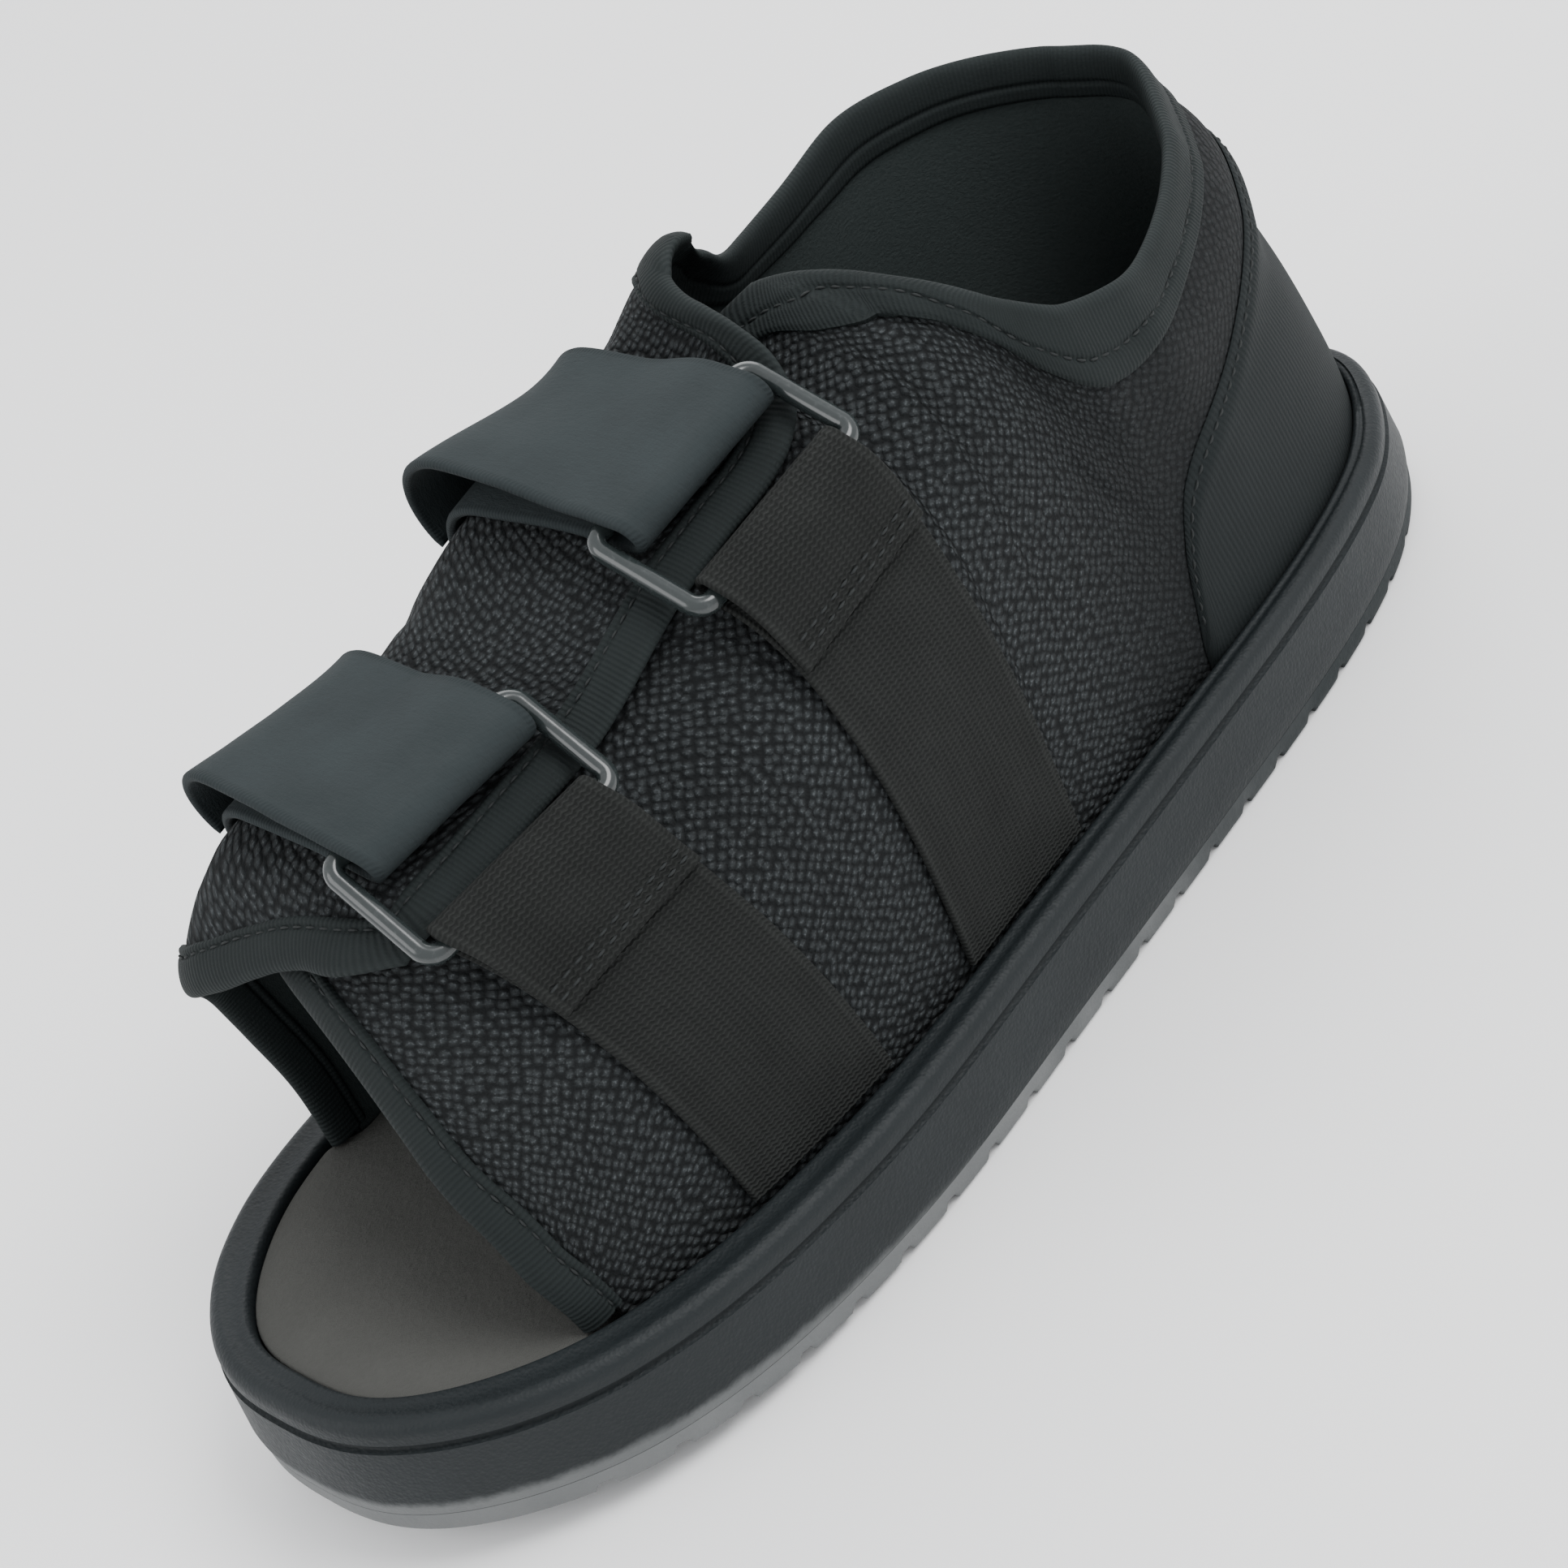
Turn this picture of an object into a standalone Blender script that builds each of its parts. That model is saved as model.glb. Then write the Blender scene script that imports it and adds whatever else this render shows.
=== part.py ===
# Post operative shoe: an open toed, closed heeled walking shoe for a bandaged foot.
#
# The wearer's left side (+Y) carries the closure: two webbing loops hold rectangular rings, and a
# strap from the far side runs through each ring and folds back over the flap. +X points to the
# toe and +Z up. The origin is on the ground, under the middle of the sole.
#
# The upper is one sheet. It runs from the near quarter, around the heel, to the far quarter, whose
# flap laps over the near quarter on the instep. A place on it is a pair (turn, climb). The turn
# goes round the sole's outline: 0 at the toe, 0.25 on the near side, 0.5 at the heel, 0.75 on the
# far side. The climb goes up a rib: 0 at the footbed and 1 at the collar, or at the crown of the
# forefoot, and past 1 it goes down the other side.

import math

import bmesh
import bpy
import numpy as np

# Driving sizes, in metres
SOLE_LENGTH = 0.290
BALL_WIDTH = 0.1045
INSTEP_HEIGHT = 0.098
CLEARANCE = 0.0003

# Sole
TREAD_THICKNESS = 0.0045
TREAD_CHAMFER = 0.0016
TREAD_INSET = 0.0004
TREAD_WAIST = 0.55
RIBLESS_END = 0.055
RIB_PITCH = 0.012
RIB_GROOVE = 0.0036
RIB_FLANK = 0.0009
RIB_DEPTH = 0.0016
MIDSOLE_CREST = 0.0246
MIDSOLE_UNDERCUT = 0.0010
HEEL_LEAN = 0.0028
TOE_LEAN = 0.0014
GROOVE_HEIGHT = 0.0196
GROOVE_WIDTH = 0.0016
GROOVE_DEPTH = 0.0012
GROOVE_LIP = 0.0003
RIM_ROUND = 0.0030
RIM_LIP = 0.0012
TOE_SPRING = 0.0085
HEEL_SPRING = 0.0020
INSOLE_THICKNESS = 0.0030
INSOLE_ROUND = 0.0006
INSOLE_STEP = 0.0090

# Upper
WALL = 0.0024
SEAT_GAP = 0.0016
COLLAR_PAD = 0.0046
COUNTER_THICKNESS = 0.0010
COUNTER_STAND = 0.0005
TAPE = 0.0009
COLLAR_BINDING = 0.0095
EDGE_BINDING = 0.0075
FLAP_FLARE = 0.0060

# Closure
STRAP_WIDTH = 0.0345
STRAP_THICKNESS = 0.0018
WEBBING_WIDTH = 0.0335
WEBBING_THICKNESS = 0.0014
WEBBING_TAIL = 0.021
RING_WIRE = 0.0028
RING_SIDE_PLAY = 0.0008
RING_CORNER = 0.0010

FOOTBED = MIDSOLE_CREST - RIM_LIP - INSOLE_THICKNESS - 2 * CLEARANCE
SEAT = FOOTBED + CLEARANCE
LAP = WALL + TAPE + 2 * CLEARANCE

# The sole's flat stands on the ground between these shares of its length
HEEL_BREAK = 0.12
TOE_BREAK = 0.60
OUTLINE_POWER = 2.69

# Shares of the sole's length: where the collar ends and the instep is closed, and where the
# collar's binding ends under the flap
THROAT = 0.3966
COLLAR_END = 0.4270

# Half width of the sole at a share of its length, as a share of the widest half width
OUTLINE = (
    # share, half width
    (0.00, 0.764),
    (0.12, 0.828),
    (0.30, 0.847),
    (0.50, 0.920),
    (0.70, 1.035),
    (0.88, 1.107),
    (1.00, 1.012),
)

# Width of the rim that shows outside the upper, as a share of the ball width
RIM = (
    # share, rim width
    (0.00, 0.072),
    (0.12, 0.053),
    (0.50, 0.064),
    (0.82, 0.081),
    (1.00, 0.081),
)

# Cross sections of the closed instep and forefoot. The crown's height is a share of the instep
# height, and its place across, like every pull on a curve, is a share of the ball width. A rise is
# a share of the section's height.
SECTIONS = (
    # share, crown height, crown across, near bulge, rise, spread, far bulge, rise, spread
    (0.3966, 1.000, -0.077, 0.010, 0.85, 0.383, 0.014, 0.90, 0.262),
    (0.4280, 0.925, -0.105, 0.014, 0.87, 0.415, 0.030, 1.00, 0.285),
    (0.4620, 0.885, -0.115, 0.018, 0.88, 0.432, 0.038, 1.05, 0.300),
    (0.5760, 0.834, -0.115, 0.038, 0.85, 0.431, 0.040, 1.05, 0.300),
    (0.6655, 0.742, -0.115, -0.016, 0.68, 0.394, 0.040, 1.06, 0.300),
    (0.7276, 0.722, -0.115, -0.014, 0.67, 0.396, 0.038, 1.06, 0.300),
    (0.7966, 0.690, -0.115, -0.010, 0.60, 0.370, 0.038, 1.05, 0.305),
    (0.8380, 0.605, -0.115, -0.004, 0.46, 0.360, 0.045, 1.02, 0.320),
    (0.8660, 0.490, -0.090, -0.002, 0.38, 0.340, 0.055, 1.00, 0.330),
    (0.8900, 0.390, -0.070, 0.000, 0.35, 0.320, 0.055, 0.97, 0.330),
)

# Ribs of the heel and collar, from the near side of the throat around the back to the far side.
# Base and top along are shares of the sole's length, top across, bulge and spread of the ball
# width, the top's height of the instep height, and rise and dip of the rib's own height.
COLLAR = (
    # side, base, top along, top across, top height, bulge, rise, spread, dip
    (1, 0.3759, 0.383, 0.038, 1.015, 0.010, 0.82, 0.268, 0.02),
    (1, 0.3483, 0.367, 0.190, 0.990, 0.012, 0.72, 0.124, 0.06),
    (1, 0.3138, 0.345, 0.292, 0.915, 0.014, 0.55, 0.050, 0.15),
    (1, 0.2793, 0.314, 0.334, 0.842, 0.014, 0.42, 0.024, 0.24),
    (1, 0.2310, 0.276, 0.336, 0.800, 0.012, 0.38, 0.014, 0.28),
    (1, 0.1759, 0.231, 0.304, 0.772, 0.008, 0.36, 0.012, 0.28),
    (1, 0.1138, 0.183, 0.249, 0.775, 0.004, 0.35, 0.010, 0.28),
    (1, 0.0586, 0.126, 0.150, 0.804, 0.000, 0.34, 0.008, 0.28),
    (1, 0.0000, 0.080, -0.026, 0.858, 0.000, 0.34, 0.004, 0.28),
    (-1, 0.0586, 0.094, -0.150, 0.878, 0.004, 0.34, 0.004, 0.28),
    (-1, 0.1138, 0.124, -0.244, 0.904, 0.008, 0.35, 0.006, 0.28),
    (-1, 0.1759, 0.167, -0.308, 0.930, 0.010, 0.36, 0.010, 0.28),
    (-1, 0.2380, 0.225, -0.334, 0.950, 0.012, 0.38, 0.014, 0.26),
    (-1, 0.3000, 0.289, -0.309, 0.938, 0.014, 0.50, 0.030, 0.20),
    (-1, 0.3483, 0.350, -0.264, 0.950, 0.012, 0.70, 0.070, 0.10),
    (-1, 0.3759, 0.381, -0.165, 0.990, 0.010, 0.80, 0.170, 0.03),
)

# Toe edge of the near quarter, from the footbed to its end under the flap
NEAR_TOE_EDGE = (
    # climb, share
    (0.00, 0.872),
    (0.18, 0.877),
    (0.35, 0.882),
    (0.60, 0.882),
    (0.75, 0.874),
    (0.90, 0.860),
    (1.00, 0.848),
    (1.10, 0.835),
    (1.20, 0.820),
)
TOE_BINDING_END = 1.10

# How far up the near quarter reaches: climb at a share of the sole's length
NEAR_REACH = (
    # share, climb
    (0.3966, 1.00),
    (0.4300, 1.09),
    (0.5000, 1.15),
    (0.8600, 1.15),
)

# How far up the far quarter reaches behind the notch: climb at a share of the sole's length
FAR_REACH = (
    # share, climb
    (0.3000, 1.00),
    (0.3483, 0.98),
    (0.3759, 0.90),
    (0.3880, 0.83),
)

# Free edge of the flap: from the notch up its rear edge, along the near side to the front corner,
# and down the toe edge of the far quarter
FLAP_EDGE = (
    # share, climb
    (0.3880, 0.830),
    (0.3972, 0.866),
    (0.4020, 0.900),
    (0.4080, 0.960),
    (0.4130, 1.030),
    (0.4190, 1.090),
    (0.4300, 1.155),
    (0.4460, 1.210),
    (0.4700, 1.245),
    (0.5000, 1.260),
    (0.5350, 1.260),
    (0.5700, 1.260),
    (0.6000, 1.260),
    (0.6300, 1.260),
    (0.6600, 1.260),
    (0.6950, 1.260),
    (0.7350, 1.260),
    (0.7600, 1.260),
    (0.7850, 1.260),
    (0.8170, 1.260),
    (0.8270, 1.150),
    (0.8350, 1.050),
    (0.8440, 0.950),
    (0.8520, 0.830),
    (0.8560, 0.700),
    (0.8550, 0.560),
    (0.8500, 0.400),
    (0.8430, 0.240),
    (0.8360, 0.110),
)
FLAP_CORNER_ROW = 19
FLAP_CORNER_CUT = 0.30

# The sheet's rows don't meet the toe edges' points, so its gap to their bindings is wider
TOE_EDGE_PLAY = 2.2

# Where the collar is padded, where the flap's lap over the near quarter grows and where its rear
# edge flares off the foot: each pair is where it starts and where it is whole
PAD_CLIMB = (0.50, 0.96)
PAD_FADE = (0.20, 0.38)
LAP_CLIMB = (0.35, 0.80)
LAP_SHARE = (0.345, 0.395)
LAP_OVER_TAPE = (0.43, 0.50, 0.76, 0.81)
FLARE_CLIMB = (0.60, 0.95)
FLARE_SHARE = (0.375, 0.402)
FLARE_FADE = (0.405, 0.455)

# Upper edge of the heel counter: climb at a share of the sole's length
COUNTER_EDGE = (
    # share, climb
    (0.000, 0.72),
    (0.060, 0.69),
    (0.150, 0.60),
    (0.220, 0.51),
    (0.260, 0.41),
    (0.285, 0.26),
    (0.300, 0.06),
)

# The two closures: places along are shares of the sole's length, the climbs of the ring's near
# and far bar are on the near side, and the stand is how far the strap's front edge stands off
CLOSURES = (
    # name, strap base, strap top, webbing base, webbing top, near bar, far bar, stand
    ("rear", 0.519, 0.519, 0.511, 0.521, 0.665, 0.865, 0.0090),
    ("front", 0.718, 0.738, 0.703, 0.745, 0.690, 0.890, 0.0070),
)
STRAP_END = 0.52
STRAP_LAYER_GAP = 0.0006
STRAP_START = 0.0008

# A folded band's climbs, counted back from its fold: where it leaves the upper for the bar, where
# its two layers part, and where the turn around the bar begins
BAND_RISE = 0.30
BAND_PART = 0.16
BAND_TURN = 0.02
STRAP_SLACK = 0.0045
WEBBING_SLACK = 0.0008

COLORS = {
    # piece: colour in linear light, roughness, metallic
    "tread": ((0.105, 0.112, 0.113), 0.80, 0.0),
    "midsole": ((0.020, 0.025, 0.027), 0.62, 0.0),
    "insole": ((0.085, 0.083, 0.078), 0.95, 0.0),
    "mesh": ((0.012, 0.013, 0.015), 0.90, 0.0),
    "counter": ((0.016, 0.020, 0.021), 0.85, 0.0),
    "tape": ((0.024, 0.030, 0.030), 0.80, 0.0),
    "strap": ((0.036, 0.044, 0.046), 0.90, 0.0),
    "webbing": ((0.020, 0.020, 0.018), 0.95, 0.0),
    "ring": ((0.045, 0.050, 0.052), 0.30, 0.0),
}


def table(rows):
    """Columns of a table of rows, as arrays."""
    return [np.array(column, dtype=float) for column in zip(*rows)]


def smooth(knots, values, at):
    """A curve through the knots that doesn't overshoot: cubic pieces with limited slopes."""
    at = np.clip(at, knots[0], knots[-1])
    step = np.diff(knots)
    secant = np.diff(values) / step
    slope = np.empty(len(knots))
    slope[0] = secant[0]
    slope[-1] = secant[-1]
    before = secant[:-1]
    after = secant[1:]
    same = before * after > 0
    total = np.where(same, before + after, 1.0)
    slope[1:-1] = np.where(same, 2 * before * after / total, 0.0)
    piece = np.clip(np.searchsorted(knots, at, side="right") - 1, 0, len(step) - 1)
    length = step[piece]
    part = (at - knots[piece]) / length
    low = (1 + 2 * part) * (1 - part) ** 2 * values[piece]
    high = part ** 2 * (3 - 2 * part) * values[piece + 1]
    leave = part * (1 - part) ** 2 * length * slope[piece]
    arrive = part ** 2 * (part - 1) * length * slope[piece + 1]
    return low + high + leave + arrive


def ease(start, end, at):
    """0 before start and 1 past end, with a soft rise between."""
    part = np.clip((at - start) / (end - start), 0.0, 1.0)
    return part * part * (3 - 2 * part)


def share_of(turn):
    """Share of the sole's length, from the heel, at a turn."""
    return 0.5 + 0.5 * np.cos(2 * np.pi * np.asarray(turn, dtype=float))


def turn_of(share, side=1):
    """Turn at a share of the sole's length, on the near (1) or far (-1) side."""
    near = np.arccos(np.clip(2 * np.asarray(share, dtype=float) - 1, -1, 1)) / (2 * np.pi)
    return near if side > 0 else 1 - near


OUTLINE_SHARE, OUTLINE_HALF = table(OUTLINE)
RIM_SHARE, RIM_SIZE = table(RIM)


def raw_outline(turn):
    """The sole's outline in plan, as x and y, before its width is set."""
    share = share_of(turn)
    across = np.abs(2 * share - 1)
    end = np.power(np.clip(1 - across ** OUTLINE_POWER, 0, 1), 1 / OUTLINE_POWER)
    half = smooth(OUTLINE_SHARE, OUTLINE_HALF, share) * end
    y = np.sign(np.sin(2 * np.pi * turn)) * half
    return (share - 0.5) * SOLE_LENGTH, y


WIDEST = np.max(raw_outline(np.linspace(0.0, 0.5, 400))[1])


def outline(turn, inset=0.0):
    """Points of the outline, drawn in by an inset, and its outward direction."""
    turn = np.asarray(turn, dtype=float)
    nudge = 0.002
    width = 0.5 * BALL_WIDTH / WIDEST
    x, y = raw_outline(turn)
    x_back, y_back = raw_outline(turn - nudge)
    x_on, y_on = raw_outline(turn + nudge)
    run_x = x_on - x_back
    run_y = (y_on - y_back) * width
    length = np.hypot(run_x, run_y)
    out_x = run_y / length
    out_y = -run_x / length
    return x - inset * out_x, y * width - inset * out_y, out_x, out_y


def ground_rise(x):
    """Height of the sole's underside above the ground: toe spring and heel spring."""
    share = x / SOLE_LENGTH + 0.5
    toe = np.clip((share - TOE_BREAK) / (1 - TOE_BREAK), 0, 1.2) ** 2
    heel = np.clip((HEEL_BREAK - share) / HEEL_BREAK, 0, 1.2) ** 2
    return TOE_SPRING * toe + HEEL_SPRING * heel


def rim_width(turn):
    """Width of the midsole's rim at a turn."""
    return smooth(RIM_SHARE, RIM_SIZE, share_of(turn)) * BALL_WIDTH


def sole_ring(turns, inset, height):
    """A closed ring around the sole, inset from its outline, above its underside."""
    x, y, _, _ = outline(turns, inset)
    return np.stack([x, y, ground_rise(x) + height], axis=1)


def collar_table():
    """Ribs of the collar by turn, with the sections beside the throat at both ends."""
    rows = []
    for side in (1, -1):
        picked = 3 if side > 0 else 6
        for section in SECTIONS[:2]:
            crown = (section[0], section[2], section[1])
            rows.append((turn_of(section[0], side), *crown, *section[picked:picked + 3], 0.0))
    for side, base, *rest in COLLAR:
        rows.append((turn_of(base, side), *rest))
    return table(sorted(rows))


SECTION_COLUMNS = table(SECTIONS)
COLLAR_COLUMNS = collar_table()


def rib(turn):
    """Shape of the ribs at these turns: top, pulls and the direction that points outward."""
    share = share_of(turn)
    near = turn < 0.5
    front = share > THROAT
    knots, height, across, *pulls = SECTION_COLUMNS
    section = [share, smooth(knots, across, share), smooth(knots, height, share)]
    for column in range(3):
        near_pull = smooth(knots, pulls[column], share)
        far_pull = smooth(knots, pulls[column + 3], share)
        section.append(np.where(near, near_pull, far_pull))
    section.append(np.zeros_like(share))
    collar = [smooth(COLLAR_COLUMNS[0], column, turn) for column in COLLAR_COLUMNS[1:]]
    return [np.where(front, a, b) for a, b in zip(section, collar)]


def skin(turn, climb):
    """Points of the upper's outer face before any lift, at turns and climbs of one shape."""
    turn = np.mod(np.asarray(turn, dtype=float), 1.0)
    climb = np.asarray(climb, dtype=float)
    turn, climb = np.broadcast_arrays(turn, climb)
    over = (climb > 1) & (share_of(turn) > THROAT)
    turn = np.where(over, 1 - turn, turn)
    climb = np.where(over, 2 - climb, climb)
    along, across, height, bulge, rise, spread, dip = rib(turn)
    x, y, out_x, out_y = outline(turn, rim_width(turn) + SEAT_GAP)
    front = share_of(turn) > THROAT
    x = np.where(front, (along - 0.5) * SOLE_LENGTH, x)
    out_x = np.where(front, 0.0, out_x)
    out_y = np.where(front, np.where(turn < 0.5, 1.0, -1.0), out_y)
    base = np.stack([x, y, SEAT + ground_rise(x)], axis=-1)
    top = np.stack([(along - 0.5) * SOLE_LENGTH, across * BALL_WIDTH,
                    SEAT + height * INSTEP_HEIGHT], axis=-1)
    out = np.stack([out_x, out_y, np.zeros_like(out_x)], axis=-1)
    tall = (top[..., 2] - base[..., 2])[..., None]
    up = np.array([0.0, 0.0, 1.0])
    low_pull = base + out * (bulge * BALL_WIDTH)[..., None] + up * tall * rise[..., None]
    high_pull = top + out * (spread * BALL_WIDTH)[..., None] - up * tall * dip[..., None]
    part = climb[..., None]
    left = 1 - part
    return (left ** 3 * base + 3 * left ** 2 * part * low_pull
            + 3 * left * part ** 2 * high_pull + part ** 3 * top)


def skin_normal(turn, climb):
    """Directions out of the upper at turns and climbs."""
    turn, climb = np.broadcast_arrays(np.asarray(turn, float), np.asarray(climb, float))
    around = skin(turn + 0.002, climb) - skin(turn - 0.002, climb)
    upward = skin(turn, climb + 0.01) - skin(turn, climb - 0.01)
    normal = np.cross(around, upward)
    return normal / np.linalg.norm(normal, axis=-1, keepdims=True)


def pad(turn, climb):
    """Swell of the padded collar behind the throat."""
    share = share_of(turn)
    low, high = PAD_CLIMB
    band = np.sin(np.pi * np.clip((climb - low) / (high - low), 0, 1)) ** 2
    fade = 1 - ease(*PAD_FADE, share)
    back = 0.55 + 0.45 * (1 - ease(0.0, 0.14, share))
    return COLLAR_PAD * band * fade * back


def lift(turn, climb):
    """How far the outer face stands off the ribs: the collar's pad, and the far quarter's lap."""
    far = np.mod(turn, 1.0) > 0.5
    share = share_of(turn)
    off_tape = ease(*LAP_OVER_TAPE[:2], share) * (1 - ease(*LAP_OVER_TAPE[2:], share))
    lap = (LAP + (TAPE + CLEARANCE) * (1 - off_tape)) * ease(*LAP_CLIMB, climb)
    lap = lap * ease(*LAP_SHARE, share)
    flare = FLAP_FLARE * ease(*FLARE_CLIMB, climb) * (1 - ease(*FLARE_FADE, share))
    flare = flare * ease(*FLARE_SHARE, share)
    return pad(turn, climb) + np.where(far, lap + flare, 0.0)


def closed_sheet(outer, inner):
    """Vertices and faces of a sheet with an outer and an inner grid of points."""
    columns, rows = outer.shape[:2]
    count = columns * rows
    points = np.concatenate([outer.reshape(-1, 3), inner.reshape(-1, 3)])
    index = np.arange(count).reshape(columns, rows)
    faces = []
    for c in range(columns - 1):
        for r in range(rows - 1):
            a, b, d, e = index[c, r], index[c + 1, r], index[c + 1, r + 1], index[c, r + 1]
            faces.append((a, b, d, e))
            faces.append((e + count, d + count, b + count, a + count))
    border = [index[c, 0] for c in range(columns)]
    border += [index[columns - 1, r] for r in range(1, rows)]
    border += [index[c, rows - 1] for c in range(columns - 2, -1, -1)]
    border += [index[0, r] for r in range(rows - 2, 0, -1)]
    # Sheets that meet along a border split its quads the same way, so that their faces don't cross
    for here, there in zip(border, border[1:] + border[:1]):
        if here < there:
            faces.append((there, here, there + count))
            faces.append((here, here + count, there + count))
        else:
            faces.append((there, here, here + count))
            faces.append((there, here + count, there + count))
    return points, faces


def ring_loft(rings):
    """Vertices and faces of rings joined one to the next, with laddered ends."""
    count = len(rings[0])
    faces = []
    for level in range(len(rings) - 1):
        low = level * count
        high = low + count
        for i in range(count):
            j = (i + 1) % count
            faces.append((low + i, low + j, high + j, high + i))
    for level, flip in ((0, True), (len(rings) - 1, False)):
        start = level * count
        for i in range(count // 2):
            rung = [i, i + 1, (count - i - 1) % count, (count - i) % count]
            face = []
            for corner in rung:
                if start + corner not in face:
                    face.append(start + corner)
            faces.append(tuple(reversed(face)) if flip else tuple(face))
    return np.concatenate(rings), faces


def tube_loop(path, radius, sides):
    """Vertices and faces of a closed wire along a flat loop of points."""
    count = len(path)
    ahead = np.roll(path, -1, axis=0) - np.roll(path, 1, axis=0)
    ahead /= np.linalg.norm(ahead, axis=1, keepdims=True)
    flat = np.cross(path[1] - path[0], path[count // 3] - path[0])
    flat /= np.linalg.norm(flat)
    beside = np.cross(ahead, flat)
    points = []
    for k in range(sides):
        angle = 2 * math.pi * k / sides
        points.append(path + radius * (math.cos(angle) * beside + math.sin(angle) * flat))
    points = np.concatenate(points)
    faces = []
    for k in range(sides):
        low = k * count
        high = ((k + 1) % sides) * count
        for i in range(count):
            j = (i + 1) % count
            faces.append((low + i, low + j, high + j, high + i))
    return points, faces


def material(kind):
    """The plain material of a kind of piece."""
    found = bpy.data.materials.get(kind)
    if found:
        return found
    color, roughness, metallic = COLORS[kind]
    made = bpy.data.materials.new(kind)
    made.use_nodes = True
    shader = made.node_tree.nodes["Principled BSDF"]
    shader.inputs["Base Color"].default_value = (*color, 1.0)
    shader.inputs["Roughness"].default_value = roughness
    shader.inputs["Metallic"].default_value = metallic
    return made


def add_piece(name, kind, shape):
    """A named object from vertices and faces, with its faces pointing out."""
    points, faces = shape
    mesh = bpy.data.meshes.new(name)
    mesh.from_pydata([tuple(map(float, p)) for p in points], [], [tuple(map(int, f)) for f in faces])
    work = bmesh.new()
    work.from_mesh(mesh)
    bmesh.ops.recalc_face_normals(work, faces=work.faces)
    bmesh.ops.triangulate(work, faces=work.faces)
    work.to_mesh(mesh)
    work.free()
    mesh.materials.append(material(kind))
    mesh.shade_smooth()
    mesh.set_sharp_from_angle(angle=math.radians(40))
    piece = bpy.data.objects.new(name, mesh)
    bpy.context.scene.collection.objects.link(piece)
    return piece


def even_turns(count):
    """Turns around the whole outline, evenly spread."""
    return np.arange(count) / count


def tread_turns():
    """Turns of the tread, with one at each corner of its cross ribs, and its groove depths."""
    tips = 0.5 - 0.5 * np.cos(np.linspace(0, 1, 6)[:-1] * np.arccos(1 - 2 * RIBLESS_END))
    shares = [(share, 0.0) for share in tips]
    shares += [(1 - share, 0.0) for share in tips]
    span = SOLE_LENGTH * (1 - 2 * RIBLESS_END)
    count = int(span // RIB_PITCH)
    start = -0.5 * RIB_PITCH * count
    for k in range(count):
        groove = start + (k + 0.5) * RIB_PITCH - 0.5 * RIB_GROOVE
        for x, depth in ((groove, 0.0), (groove + RIB_FLANK, RIB_DEPTH),
                         (groove + RIB_GROOVE - RIB_FLANK, RIB_DEPTH), (groove + RIB_GROOVE, 0.0)):
            shares.append((x / SOLE_LENGTH + 0.5, depth))
    shares = sorted(shares)
    near = [(turn_of(share), depth) for share, depth in reversed(shares)]
    far = [(turn_of(share, -1), depth) for share, depth in shares[1:-1]]
    turns, depths = table(near + far)
    return turns, depths


def build_tread():
    """Outsole: a thin rubber layer with cross ribs that notch its lower edge."""
    turns, depths = tread_turns()
    waist = TREAD_THICKNESS * TREAD_WAIST
    rings = [
        sole_ring(turns, TREAD_CHAMFER, depths),
        sole_ring(turns, TREAD_INSET, np.full_like(depths, waist)),
        sole_ring(turns, TREAD_INSET, TREAD_THICKNESS),
    ]
    return ring_loft(rings)


def build_midsole():
    """Midsole: a foam block with a groove around its side and a rounded rim around the footbed."""
    turns = even_turns(60)
    share = share_of(turns)
    rim = rim_width(turns)
    low = TREAD_THICKNESS + CLEARANCE
    half = GROOVE_WIDTH / 2
    upright = low + 0.25 * (GROOVE_HEIGHT - low)
    lean = HEEL_LEAN * (1 - ease(0.0, 0.10, share)) + TOE_LEAN * ease(0.93, 1.0, share)
    side = (
        # inset, height
        (MIDSOLE_UNDERCUT, low),
        (0.0, upright),
        (0.0, GROOVE_HEIGHT - half),
        (GROOVE_DEPTH, GROOVE_HEIGHT - half * 0.3),
        (GROOVE_DEPTH, GROOVE_HEIGHT + half * 0.3),
        (GROOVE_LIP, GROOVE_HEIGHT + half),
        (0.3 * RIM_ROUND, MIDSOLE_CREST - 0.45 * RIM_ROUND),
        (RIM_ROUND, MIDSOLE_CREST),
    )
    footbed = (
        # inset, height
        (rim - 0.5 * RIM_LIP, MIDSOLE_CREST - 0.3 * RIM_LIP),
        (rim, MIDSOLE_CREST - RIM_LIP),
        (rim, FOOTBED),
    )
    rings = []
    for inset, height in side:
        climbed = max(0.0, (height - upright) / (MIDSOLE_CREST - upright))
        rings.append(sole_ring(turns, inset + lean * climbed, height))
    for inset, height in footbed:
        rings.append(sole_ring(turns, inset, height))
    return ring_loft(rings)


def insole_corner(share, side):
    """Share where the insole, inside the wall, comes level with a place on the wall's base."""
    level = share
    for _ in range(4):
        turn = turn_of(level, side)
        inset = rim_width(turn) + CLEARANCE + SEAT_GAP + WALL
        level = share + inset * outline(turn)[2] / SOLE_LENGTH
    return level


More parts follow.
